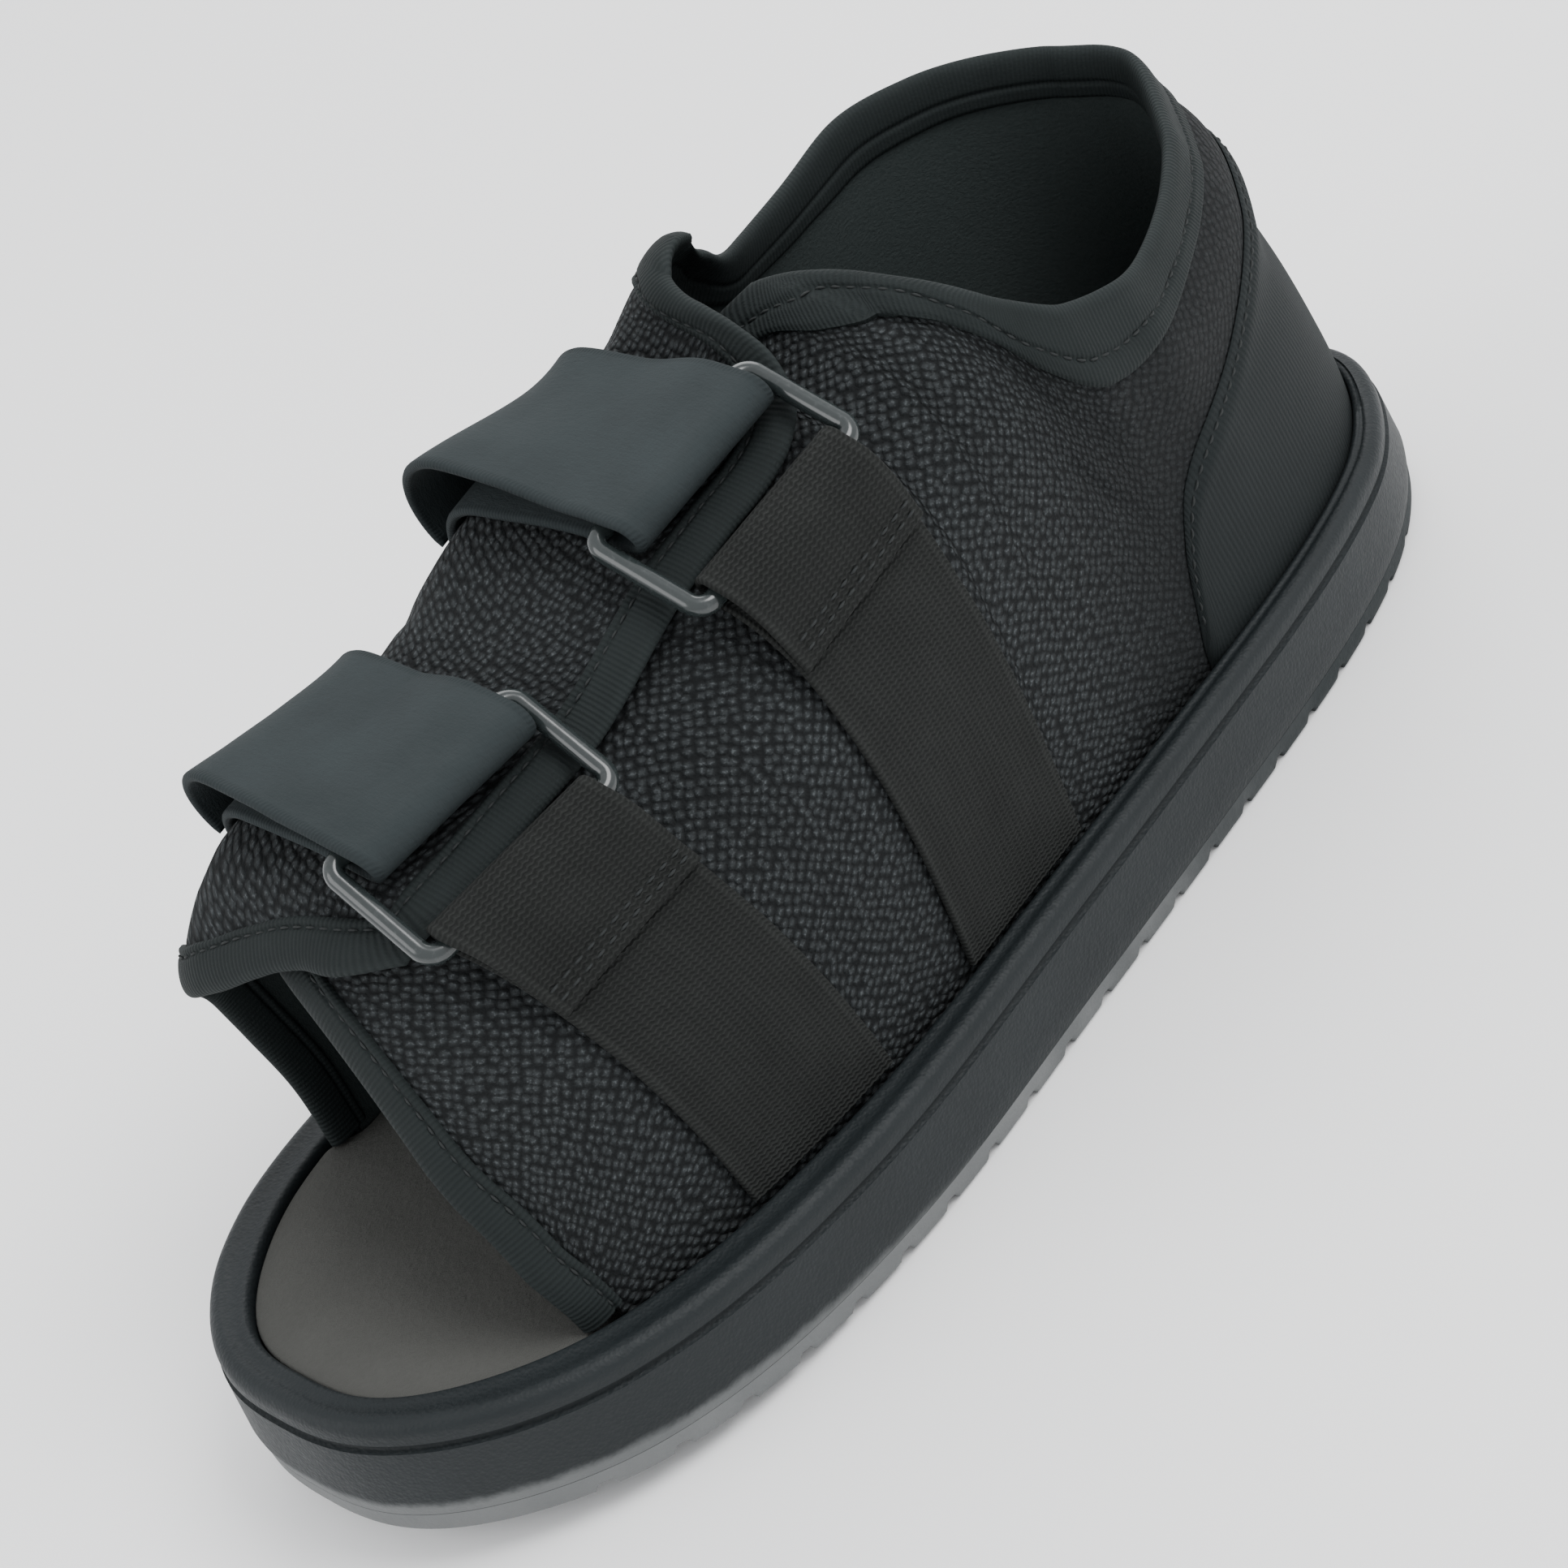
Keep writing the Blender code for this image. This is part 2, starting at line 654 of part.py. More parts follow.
def build_insole():
    """Insole: a sheet that fills the open toe to the rim and lies inside the upper behind it."""
    toe = toe_path(TOE_BINDING_END)
    band = np.full(toe.shape[1], EDGE_BINDING)
    _, inside, _ = edge_paths(0.0)
    near_end = insole_corner(share_of(inward(toe, band)[0, 0]), 1)
    far_end = insole_corner(share_of(inside[0, -1]), -1)
    step = INSOLE_STEP / SOLE_LENGTH
    corners = [turn_of(near_end), turn_of(near_end + step), turn_of(far_end, -1),
               turn_of(far_end + step, -1)]
    turns = np.sort(np.concatenate([even_turns(60), corners]))
    end = np.where(turns < 0.5, near_end, far_end)
    covered = 1 - ease(end, end + step, share_of(turns))
    inset = rim_width(turns) + CLEARANCE + covered * (SEAT_GAP + WALL)
    bottom = FOOTBED + CLEARANCE
    top = bottom + INSOLE_THICKNESS
    rings = [
        sole_ring(turns, inset, bottom),
        sole_ring(turns, inset, top - INSOLE_ROUND),
        sole_ring(turns, inset + INSOLE_ROUND, top),
    ]
    return ring_loft(rings)


def climb_at_height(turn, height):
    """Climb where a rib passes a height above the sole's underside."""
    climbs = np.linspace(0.0, 0.4, 80)
    found = []
    for one_turn in turn:
        points = skin(np.full(80, one_turn), climbs)
        above = points[:, 2] - ground_rise(points[:, 0])
        found.append(np.interp(height, above, climbs))
    return np.array(found)


def inward(path, width):
    """A path of turns and climbs moved into the sheet by a width, mitred at its corners."""
    turn, climb = path
    points = skin(turn, climb)
    leg = np.diff(points, axis=0)
    leg /= np.linalg.norm(leg, axis=1, keepdims=True)
    before = np.concatenate([leg[:1], leg])
    after = np.concatenate([leg, leg[-1:]])
    along = before + after
    along /= np.linalg.norm(along, axis=1, keepdims=True)
    half_angle = np.sqrt(np.clip((1 + (before * after).sum(axis=1)) / 2, 0.45, 1))
    steps = 4
    side = np.cross(along, skin_normal(turn, climb)) * (width / half_angle / steps)[:, None]
    for _ in range(steps):
        by_turn = (skin(turn + 0.001, climb) - skin(turn - 0.001, climb)) / 0.002
        by_climb = (skin(turn, climb + 0.005) - skin(turn, climb - 0.005)) / 0.010
        tt = (by_turn * by_turn).sum(axis=1)
        tc = (by_turn * by_climb).sum(axis=1)
        cc = (by_climb * by_climb).sum(axis=1)
        ts = (by_turn * side).sum(axis=1)
        cs = (by_climb * side).sum(axis=1)
        whole = tt * cc - tc * tc
        turn = turn + (ts * cc - cs * tc) / whole
        climb = climb + (cs * tt - ts * tc) / whole
    return np.array([turn, climb])


def toe_path(end):
    """Turns and climbs up the near quarter's toe edge, from just above the insole to a climb."""
    climbs, shares = table(NEAR_TOE_EDGE)
    top_of_insole = FOOTBED + INSOLE_THICKNESS + 3 * CLEARANCE
    start = climb_at_height([turn_of(shares[0])], top_of_insole)[0]
    climb = np.linspace(start, end, 13)
    return np.array([turn_of(smooth(climbs, shares, climb)), climb])


def collar_path():
    """Turns and climbs along the collar, from its end under the flap, around the back, to the notch."""
    reach_share, reach = table(NEAR_REACH)
    far_share, far_reach = table(FAR_REACH)
    hidden = np.array([COLLAR_END, 0.5 * (COLLAR_END + THROAT)])
    turns = np.concatenate([
        turn_of(np.concatenate([hidden, np.linspace(THROAT, 0.30, 6)])),
        np.linspace(turn_of(0.30), turn_of(0.30, -1), 24)[1:-1],
        turn_of([0.30, 0.33, 0.3550, 0.3740, far_share[-1]], -1),
    ])
    share = share_of(turns)
    near = np.where(share > THROAT, smooth(reach_share, reach, share), 1.0)
    return np.array([turns, np.where(turns < 0.5, near, smooth(far_share, far_reach, share))])


def flap_path():
    """Turns and climbs along the flap's free edge, from the notch to just above the insole."""
    shares, climbs = table(FLAP_EDGE)
    turns = turn_of(shares, -1)
    top_of_insole = FOOTBED + INSOLE_THICKNESS + 3 * CLEARANCE
    end = climb_at_height(turns[-1:], top_of_insole)
    return np.array([np.append(turns, turns[-1]), np.append(climbs, end)])


def edge_paths(gap):
    """The collar's and the flap's edge with the sheet's edge beside it, past their bindings."""
    collar = collar_path()
    flap = flap_path()
    whole = np.concatenate([collar, flap[:, 1:]], axis=1)
    count = collar.shape[1]
    width = np.full(whole.shape[1], EDGE_BINDING)
    width[:count] = COLLAR_BINDING
    width[count - 1] = 0.5 * (COLLAR_BINDING + EDGE_BINDING)
    gaps = np.full(whole.shape[1], gap)
    gaps[count + FLAP_CORNER_ROW:] *= TOE_EDGE_PLAY
    return whole, inward(whole, width + gaps), count


def near_columns(rise):
    """Turns and climbs of the near quarter's columns, from its toe edge towards the throat."""
    toe = toe_path(NEAR_TOE_EDGE[-1][0])
    edge = inward(toe, np.full(toe.shape[1], EDGE_BINDING + CLEARANCE * TOE_EDGE_PLAY))
    reach_share, reach = table(NEAR_REACH)
    rear = COLLAR_END + 0.03
    columns = []
    for part in np.linspace(1, 0, 14):
        share = rear + (NEAR_TOE_EDGE[-1][1] - rear) * part
        climb = rise * smooth(reach_share, reach, share)
        front = np.interp(climb, edge[1], share_of(edge[0]))
        columns.append((turn_of(rear + (front - rear) * part), climb))
    return columns


def collar_and_flap_columns(rise):
    """Turns and climbs of the columns under the collar's binding and the flap's binding."""
    _, edge, count = edge_paths(CLEARANCE)
    columns = []
    for turn, climb in edge[:, :count].T:
        columns.append((np.full(len(rise), turn), rise * climb))
    corner = count - 1 + FLAP_CORNER_ROW
    front_climb = edge[1, :corner - 1:-1]
    front_share = share_of(edge[0, :corner - 1:-1])
    rear_base = share_of(edge[0, count - 1])
    for k in range(count, corner + 1):
        part = (k - count + 1) / (corner - count + 1)
        base = rear_base + (front_share[0] - rear_base) * part
        climb = rise * edge[1, k]
        share = base + (share_of(edge[0, k]) - base) * rise
        bow = np.interp(climb, front_climb, front_share)
        straight = front_share[0] + (front_share[-1] - front_share[0]) * climb / front_climb[-1]
        columns.append((turn_of(share + part ** 3 * (bow - straight), -1), climb))
    return columns


def build_upper():
    """Upper: one sheet from the near quarter around the heel to the far quarter and its flap."""
    rise = np.linspace(0, 1, 14)
    columns = near_columns(rise) + collar_and_flap_columns(rise)
    turns, climbs = (np.array(part) for part in zip(*columns))
    points = skin(turns, climbs)
    normals = skin_normal(turns, climbs)
    swell = lift(turns, climbs)
    inner = swell - pad(turns, climbs) - WALL
    return closed_sheet(points + normals * swell[..., None], points + normals * inner[..., None])


def binding(edge, inside):
    """A folded tape that carries the wall on from the sheet to its edge, with a rounded edge."""
    rows = (
        # share of the width, share of the thickness
        (0.00, 1.00),
        (0.45, 1.00),
        (0.86, 0.86),
        (1.00, 0.40),
    )
    outer = []
    inner = []
    for part, full in rows:
        turn, climb = inside + (edge - inside) * part
        point = skin(turn, climb)
        normal = skin_normal(turn, climb)
        high = lift(turn, climb) + TAPE
        low = lift(turn, climb) - pad(turn, climb) - WALL - TAPE
        middle = 0.5 * (high + low)
        half = 0.5 * (high - low) * full
        outer.append(point + normal * (middle + half)[:, None])
        inner.append(point + normal * (middle - half)[:, None])
    return closed_sheet(np.stack(outer, axis=1), np.stack(inner, axis=1))


def build_collar_binding():
    """Binding along the collar's edge, from under the flap around the back to the notch."""
    edge, inside, count = edge_paths(0.0)
    return binding(edge[:, :count], inside[:, :count])


def build_flap_binding():
    """Binding around the flap's free edge and down the far quarter's toe edge."""
    edge, inside, count = edge_paths(0.0)
    edge = edge[:, count - 1:].copy()
    inside = inside[:, count - 1:].copy()
    edge[:, FLAP_CORNER_ROW] += (inside - edge)[:, FLAP_CORNER_ROW] * FLAP_CORNER_CUT
    for path in (edge, inside):
        first_leg = np.linalg.norm(np.diff(skin(*path[:, :2]), axis=0))
        path[:, 0] += (path[:, 1] - path[:, 0]) * 2 * CLEARANCE / first_leg
    return binding(edge, inside)


def build_toe_binding():
    """Binding up the near quarter's toe edge."""
    toe = toe_path(TOE_BINDING_END)
    return binding(toe, inward(toe, np.full(toe.shape[1], EDGE_BINDING)))


def build_counter():
    """Heel counter: a smooth cover around the heel, higher at the back."""
    shares, edge = table(COUNTER_EDGE)
    _, sheet, count = edge_paths(CLEARANCE)
    ends = [turn_of(shares[-1]), turn_of(shares[-1], -1)]
    between = [turn for turn in sheet[0, :count] if ends[0] + 0.004 < turn < ends[1] - 0.004]
    turns = np.array([ends[0], *between, ends[1]])
    top = smooth(shares, edge, share_of(turns))
    rows = np.array([0.0, 0.22, 0.42, 0.58, 0.70, 0.80, 0.90, 1.0])
    climb = top[:, None] * rows
    turn = turns[:, None] + 0 * climb
    point = skin(turn, climb)
    normal = skin_normal(turn, climb)
    under = lift(turn, climb) + CLEARANCE + COUNTER_STAND * ease(0.20, 0.45, climb)
    return closed_sheet(point + normal * (under + COUNTER_THICKNESS)[..., None],
                        point + normal * under[..., None])


def unit(vector):
    """A vector of length 1."""
    return vector / np.linalg.norm(vector, axis=-1, keepdims=True)


def foot(side, share, climb, point):
    """Share and climb of the place on the ribs that lies straight under each point."""
    for _ in range(8):
        turn = turn_of(share, side)
        normal = skin_normal(turn, climb)
        off = point - skin(turn, climb)
        off = off - normal * (off * normal).sum(axis=-1, keepdims=True)
        by_share = (skin(turn_of(share + 0.002, side), climb) - skin(turn, climb)) / 0.002
        by_climb = (skin(turn, climb + 0.005) - skin(turn, climb - 0.005)) / 0.010
        ss = (by_share * by_share).sum(axis=-1)
        sc = (by_share * by_climb).sum(axis=-1)
        cc = (by_climb * by_climb).sum(axis=-1)
        so = (by_share * off).sum(axis=-1)
        co = (by_climb * off).sum(axis=-1)
        whole = ss * cc - sc * sc
        share = share + (so * cc - co * sc) / whole
        climb = climb + (co * ss - so * sc) / whole
    return share, climb


def ring_frame(closure):
    """Middles of a ring's near and far bar and the direction along them, clear of the flap."""
    _, _, strap_share, _, webbing_share, near_bar, far_bar, _ = closure
    wire = 0.5 * RING_WIRE
    ends = np.array([-0.5, 0.5]) * STRAP_WIDTH / SOLE_LENGTH
    near_turn = turn_of(webbing_share + ends)
    near_height = 2 * CLEARANCE + WEBBING_THICKNESS + wire
    near_ends = skin(near_turn, near_bar) + skin_normal(near_turn, near_bar) * near_height
    far_turn = turn_of(strap_share + ends, -1)
    far_height = lift(far_turn, 2 - far_bar) + TAPE + 2 * CLEARANCE + STRAP_THICKNESS + wire
    far_ends = (skin(far_turn, 2 - far_bar)
                + skin_normal(far_turn, 2 - far_bar) * far_height[:, None])
    along = unit(unit(near_ends[1] - near_ends[0]) + unit(far_ends[1] - far_ends[0]))
    near = near_ends.mean(axis=0)
    far = far_ends.mean(axis=0)
    side_bar = 0.5 * (STRAP_WIDTH + RING_WIRE) + RING_SIDE_PLAY
    climb = np.linspace(2 - far_bar, FLAP_EDGE[FLAP_CORNER_ROW][1], 8)
    middle = np.linspace(strap_share, webbing_share, 8)
    tops = []
    for end in (-1, 1):
        turn = turn_of(middle + end * side_bar / SOLE_LENGTH, -1)
        height = lift(turn, climb) + TAPE + CLEARANCE + wire
        tops.append(skin(turn, climb) + skin_normal(turn, climb) * height[:, None])
    tops = np.concatenate(tops)
    for _ in range(10):
        up = unit(np.cross(along, near - far))
        up = up * np.sign(up[2])
        short = max(0.0, ((tops - far) @ up).max())
        near = near + up * short
        far = far + 0.5 * up * short
    across = unit(near - far)
    return near, far, unit(along - across * (along @ across))


def build_ring(closure):
    """A rectangular wire ring with rounded corners."""
    near, far, along = ring_frame(closure)
    half = 0.5 * (STRAP_WIDTH + RING_WIRE) + RING_SIDE_PLAY
    round_radius = RING_CORNER + 0.5 * RING_WIRE
    across = unit(near - far)
    middle = 0.5 * (near + far)
    deep = 0.5 * np.linalg.norm(near - far)
    path = []
    for side_along, side_across, start in ((1, 1, 0), (-1, 1, 90), (-1, -1, 180), (1, -1, 270)):
        center = (middle + along * side_along * (half - round_radius)
                  + across * side_across * (deep - round_radius))
        for k in range(5):
            angle = math.radians(start + 22.5 * k)
            path.append(center + round_radius * (along * math.cos(angle) + across * math.sin(angle)))
    return tube_loop(np.array(path), 0.5 * RING_WIRE, 10)


def folded_band(side, start_share, start, end, bar, height, thickness, gap, slack, stand):
    """A band of cloth that runs up the upper, turns back around a bar and lies on itself.

    Its columns start at shares and climbs, pass under the points of the bar and end at a climb.
    """
    radius = 0.5 * RING_WIRE + CLEARANCE + 0.5 * thickness
    guess = np.full(len(start), end + 0.2)
    fold_share, fold = foot(side, start_share, guess, bar)
    turn = turn_of(fold_share, side)
    bar_foot = skin(turn, fold)
    out = skin_normal(turn, fold)
    onward = unit(skin(turn, fold + 0.005) - skin(turn, fold - 0.005))
    bar_height = ((bar - bar_foot) * out).sum(axis=1)
    last = fold - BAND_TURN

    def layer(climb, extra):
        part = (climb - start[:, None]) / (fold - start)[:, None]
        turn = turn_of(start_share[:, None] + (fold_share - start_share)[:, None] * part, side)
        plain = height(turn, climb)
        raised = ease(fold[:, None] - BAND_RISE, last[:, None], climb)
        level = plain + ((bar_height - radius)[:, None] - plain) * raised
        return skin(turn, climb) + skin_normal(turn, climb) * (level + extra)[..., None]

    lower = start[:, None] + (last - start)[:, None] * np.linspace(0, 1, 15)
    upper = last[:, None] + (end - last)[:, None] * np.linspace(0, 1, 13)
    near_fold = ease(fold[:, None] - BAND_PART, last[:, None], upper)
    extra = gap + (2 * radius - gap) * near_fold
    bump = np.sin(np.pi * np.linspace(0, 1, 13)) ** 0.6
    extra = extra + stand[:, None] * bump * (1 - near_fold)
    fold_points = []
    for angle in np.linspace(0, math.pi, 9):
        turned = radius * (onward * math.sin(angle) - out * math.cos(angle))
        fold_points.append(bar + slack * onward + turned)
    middle = np.concatenate([layer(lower, 0.0), np.stack(fold_points, axis=1),
                             layer(upper, extra)], axis=1)
    normal = unit(np.cross(np.gradient(middle, axis=0), np.gradient(middle, axis=1)))
    return closed_sheet(middle + normal * 0.5 * thickness, middle - normal * 0.5 * thickness)


def build_strap(closure):
    """Strap: from the far side's rim over the flap, around the ring's far bar and back."""
    _, base_share, _, _, _, _, _, stand = closure
    across = np.linspace(-0.5, 0.5, 5)
    _, far, along = ring_frame(closure)
    shares = base_share + across * STRAP_WIDTH / SOLE_LENGTH
    start = climb_at_height(turn_of(shares, -1), MIDSOLE_CREST + STRAP_START)

    def height(turn, climb):
        over_tape = TAPE * ease(0.5, 0.8, climb)
        return lift(turn, climb) + over_tape + CLEARANCE + 0.5 * STRAP_THICKNESS

    bar = far + along * (across * STRAP_WIDTH)[:, None]
    gap = STRAP_THICKNESS + STRAP_LAYER_GAP
    return folded_band(-1, shares, start, STRAP_END, bar, height, STRAP_THICKNESS, gap,
                       STRAP_SLACK, stand * (across + 0.5) ** 1.5)


def build_webbing(closure):
    """Webbing: from the near side's rim up the wall, around the ring's near bar and back down."""
    _, _, _, base_share, _, near_bar, _, _ = closure
    across = np.linspace(-0.5, 0.5, 5)
    near, _, along = ring_frame(closure)
    shares = base_share + across * WEBBING_WIDTH / SOLE_LENGTH
    start = climb_at_height(turn_of(shares), MIDSOLE_CREST + STRAP_START)
    rib_length = np.linalg.norm(np.diff(skin(turn_of(base_share), np.linspace(0, 1, 60)), axis=0),
                                axis=1).sum()

    def height(turn, climb):
        return 0 * climb + CLEARANCE + 0.5 * WEBBING_THICKNESS

    bar = near + along * (across * WEBBING_WIDTH)[:, None]
    gap = WEBBING_THICKNESS + STRAP_LAYER_GAP
    end = near_bar - WEBBING_TAIL / rib_length
    return folded_band(1, shares, start, end, bar, height, WEBBING_THICKNESS, gap,
                       WEBBING_SLACK, np.zeros(len(across)))


PIECES = (
    # name, kind, builder
    ("outsole", "tread", build_tread),
    ("midsole", "midsole", build_midsole),
    ("insole", "insole", build_insole),
    ("upper", "mesh", build_upper),
    ("heel_counter", "counter", build_counter),
    ("collar_binding", "tape", build_collar_binding),
    ("flap_binding", "tape", build_flap_binding),
    ("toe_binding", "tape", build_toe_binding),
)
CLOSURE_PIECES = (
    # name, kind, builder
    ("ring", "ring", build_ring),
    ("strap", "strap", build_strap),
    ("webbing", "webbing", build_webbing),
)


def main():
    for old in list(bpy.data.objects):
        bpy.data.objects.remove(old)
    for name, kind, builder in PIECES:
        add_piece(name, kind, builder())
    for name, kind, builder in CLOSURE_PIECES:
        for closure in CLOSURES:
            add_piece(name + "_" + closure[0], kind, builder(closure))


main()
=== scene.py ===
import math

import bmesh
import bpy
import numpy as np
from mathutils import Matrix, Vector


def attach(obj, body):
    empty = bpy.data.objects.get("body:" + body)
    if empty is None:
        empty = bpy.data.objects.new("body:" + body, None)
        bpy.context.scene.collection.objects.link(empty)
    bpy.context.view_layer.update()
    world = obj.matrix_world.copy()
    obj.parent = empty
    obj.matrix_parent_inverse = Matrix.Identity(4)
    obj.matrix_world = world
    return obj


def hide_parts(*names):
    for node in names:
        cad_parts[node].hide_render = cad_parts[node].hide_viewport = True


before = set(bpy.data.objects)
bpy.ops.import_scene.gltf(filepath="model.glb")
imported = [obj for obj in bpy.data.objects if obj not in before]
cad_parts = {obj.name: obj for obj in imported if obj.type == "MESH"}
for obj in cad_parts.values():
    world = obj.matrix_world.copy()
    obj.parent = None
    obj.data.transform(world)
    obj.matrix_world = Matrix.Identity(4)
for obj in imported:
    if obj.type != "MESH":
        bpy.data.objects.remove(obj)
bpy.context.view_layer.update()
print("frame:", len(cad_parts), "nodes")

# Sizes that the pieces share
shoe = {
    "length": 0.290, "ball": 0.1045, "instep": 0.098, "gap": 0.0003,
    "wall": 0.0024, "tape": 0.0009, "seatGap": 0.0016,
    "toeSpring": 0.0085, "heelSpring": 0.0020, "heelBreak": 0.12, "toeBreak": 0.60,
    "tread": 0.0045, "crest": 0.0246, "lip": 0.0012, "insole": 0.0030,
    "power": 2.69, "throat": 0.3966, "collarEnd": 0.4270,
}
gap = shoe["gap"]
wall = shoe["wall"]
tape = shoe["tape"]
footbed = shoe["crest"] - shoe["lip"] - shoe["insole"] - 2 * gap
seat = footbed + gap
lapOver = wall + tape + 2 * gap

# Half width of the sole and width of its rim, by share of the length from the heel
outlineRows = ((0.00, 0.764), (0.12, 0.828), (0.30, 0.847), (0.50, 0.920), (0.70, 1.035),
               (0.88, 1.107), (1.00, 1.012))
rimRows = ((0.00, 0.072), (0.12, 0.053), (0.50, 0.064), (0.82, 0.081), (1.00, 0.081))

# Instep and forefoot: share, crown height, crown across, near bulge, rise, spread, far bulge, rise, spread
sectionRows = (
    (0.3966, 1.000, -0.077, 0.010, 0.85, 0.383, 0.014, 0.90, 0.262),
    (0.4280, 0.925, -0.105, 0.014, 0.87, 0.415, 0.030, 1.00, 0.285),
    (0.4620, 0.885, -0.115, 0.018, 0.88, 0.432, 0.038, 1.05, 0.300),
    (0.5760, 0.834, -0.115, 0.038, 0.85, 0.431, 0.040, 1.05, 0.300),
    (0.6655, 0.742, -0.115, -0.016, 0.68, 0.394, 0.040, 1.06, 0.300),
    (0.7276, 0.722, -0.115, -0.014, 0.67, 0.396, 0.038, 1.06, 0.300),
    (0.7966, 0.690, -0.115, -0.010, 0.60, 0.370, 0.038, 1.05, 0.305),
    (0.8380, 0.605, -0.115, -0.004, 0.46, 0.360, 0.045, 1.02, 0.320),
    (0.8660, 0.490, -0.090, -0.002, 0.38, 0.340, 0.055, 1.00, 0.330),
    (0.8900, 0.390, -0.070, 0.000, 0.35, 0.320, 0.055, 0.97, 0.330),
)

# Ribs of the heel and collar: side, base, top along, top across, top height, bulge, rise, spread, dip
collarRows = (
    (1, 0.3759, 0.383, 0.038, 1.015, 0.010, 0.82, 0.268, 0.02),
    (1, 0.3483, 0.367, 0.190, 0.990, 0.012, 0.72, 0.124, 0.06),
    (1, 0.3138, 0.345, 0.292, 0.915, 0.014, 0.55, 0.050, 0.15),
    (1, 0.2793, 0.314, 0.334, 0.842, 0.014, 0.42, 0.024, 0.24),
    (1, 0.2310, 0.276, 0.336, 0.800, 0.012, 0.38, 0.014, 0.28),
    (1, 0.1759, 0.231, 0.304, 0.772, 0.008, 0.36, 0.012, 0.28),
    (1, 0.1138, 0.183, 0.249, 0.775, 0.004, 0.35, 0.010, 0.28),
    (1, 0.0586, 0.126, 0.150, 0.804, 0.000, 0.34, 0.008, 0.28),
    (1, 0.0000, 0.080, -0.026, 0.858, 0.000, 0.34, 0.004, 0.28),
    (-1, 0.0586, 0.094, -0.150, 0.878, 0.004, 0.34, 0.004, 0.28),
    (-1, 0.1138, 0.124, -0.244, 0.904, 0.008, 0.35, 0.006, 0.28),
    (-1, 0.1759, 0.167, -0.308, 0.930, 0.010, 0.36, 0.010, 0.28),
    (-1, 0.2380, 0.225, -0.334, 0.950, 0.012, 0.38, 0.014, 0.26),
    (-1, 0.3000, 0.289, -0.309, 0.938, 0.014, 0.50, 0.030, 0.20),
    (-1, 0.3483, 0.350, -0.264, 0.950, 0.012, 0.70, 0.070, 0.10),
    (-1, 0.3759, 0.381, -0.165, 0.990, 0.010, 0.80, 0.170, 0.03),
)

# Edges of the sheet: climb and share up the near toe edge, then share and climb for the others
toeEdgeRows = ((0.00, 0.872), (0.18, 0.877), (0.35, 0.882), (0.60, 0.882), (0.75, 0.874),
               (0.90, 0.860), (1.00, 0.848), (1.10, 0.835), (1.20, 0.820))
nearReachRows = ((0.3966, 1.00), (0.4300, 1.09), (0.5000, 1.15), (0.8600, 1.15))
farReachRows = ((0.3000, 1.00), (0.3483, 0.98), (0.3759, 0.90), (0.3880, 0.83))
flapRows = (
    (0.3880, 0.830), (0.3972, 0.866), (0.4020, 0.900), (0.4080, 0.960), (0.4130, 1.030),
    (0.4190, 1.090), (0.4300, 1.155), (0.4460, 1.210), (0.4700, 1.245), (0.5000, 1.260),
    (0.5350, 1.260), (0.5700, 1.260), (0.6000, 1.260), (0.6300, 1.260), (0.6600, 1.260),
    (0.6950, 1.260), (0.7350, 1.260), (0.7600, 1.260), (0.7850, 1.260), (0.8170, 1.260),
    (0.8270, 1.150), (0.8350, 1.050), (0.8440, 0.950), (0.8520, 0.830), (0.8560, 0.700),
    (0.8550, 0.560), (0.8500, 0.400), (0.8430, 0.240), (0.8360, 0.110),
)
flapCorner = 19
toeBindingEnd = 1.10


# Rows turned into one array for each column
def table(rows):
    return [np.array(column, dtype=float) for column in zip(*rows)]


# A cubic from one value to the next with a slope at each, at a part of the way between them
def cubic(part, length, one, two, leave, arrive):
    return ((1 + 2 * part) * (1 - part) ** 2 * one + part ** 2 * (3 - 2 * part) * two
            + part * (1 - part) ** 2 * length * leave + part ** 2 * (part - 1) * length * arrive)


# Cubic pieces through the knots, each slope the harmonic mean of its two secants, so no overshoot
def smooth(knots, values, at):
    values = np.asarray(values, dtype=float)
    flat = (1,) * (values.ndim - 1)
    at = np.clip(at, knots[0], knots[-1])
    step = np.diff(knots)
    secant = np.diff(values, axis=0) / step.reshape(-1, *flat)
    before, after = secant[:-1], secant[1:]
    same = before * after > 0
    middle = np.where(same, 2 * before * after / np.where(same, before + after, 1.0), 0.0)
    slope = np.concatenate([secant[:1], middle, secant[-1:]])
    piece = np.clip(np.searchsorted(knots, at, side="right") - 1, 0, len(step) - 1)
    shape = (*np.shape(at), *flat)
    part = ((at - knots[piece]) / step[piece]).reshape(shape)
    return cubic(part, step[piece].reshape(shape), values[piece], values[piece + 1], slope[piece],
                 slope[piece + 1])


# 0 before start, 1 past end, 3t^2 - 2t^3 between
def ease(start, end, at):
    part = np.clip((at - start) / (end - start), 0.0, 1.0)
    return part * part * (3 - 2 * part)


def unit(vector):
    return vector / np.linalg.norm(vector, axis=-1, keepdims=True)


# Share of the length at a turn round the outline, and back: the share is half of 1 + cos(turn)
def shareOf(turn):
    return 0.5 + 0.5 * np.cos(2 * np.pi * np.asarray(turn, dtype=float))


def turnOf(share, side=1):
    near = np.arccos(np.clip(2 * np.asarray(share, dtype=float) - 1, -1, 1)) / (2 * np.pi)
    return near if side > 0 else 1 - near


outlineShare, outlineHalf = table(outlineRows)
rimShare, rimSize = table(rimRows)


# A superellipse in the length, times a half width that varies along it
def rawOutline(turn):
    share = shareOf(turn)
    end = np.clip(1 - np.abs(2 * share - 1) ** shoe["power"], 0, 1) ** (1 / shoe["power"])
    half = smooth(outlineShare, outlineHalf, share) * end
    return (share - 0.5) * shoe["length"], np.sign(np.sin(2 * np.pi * turn)) * half


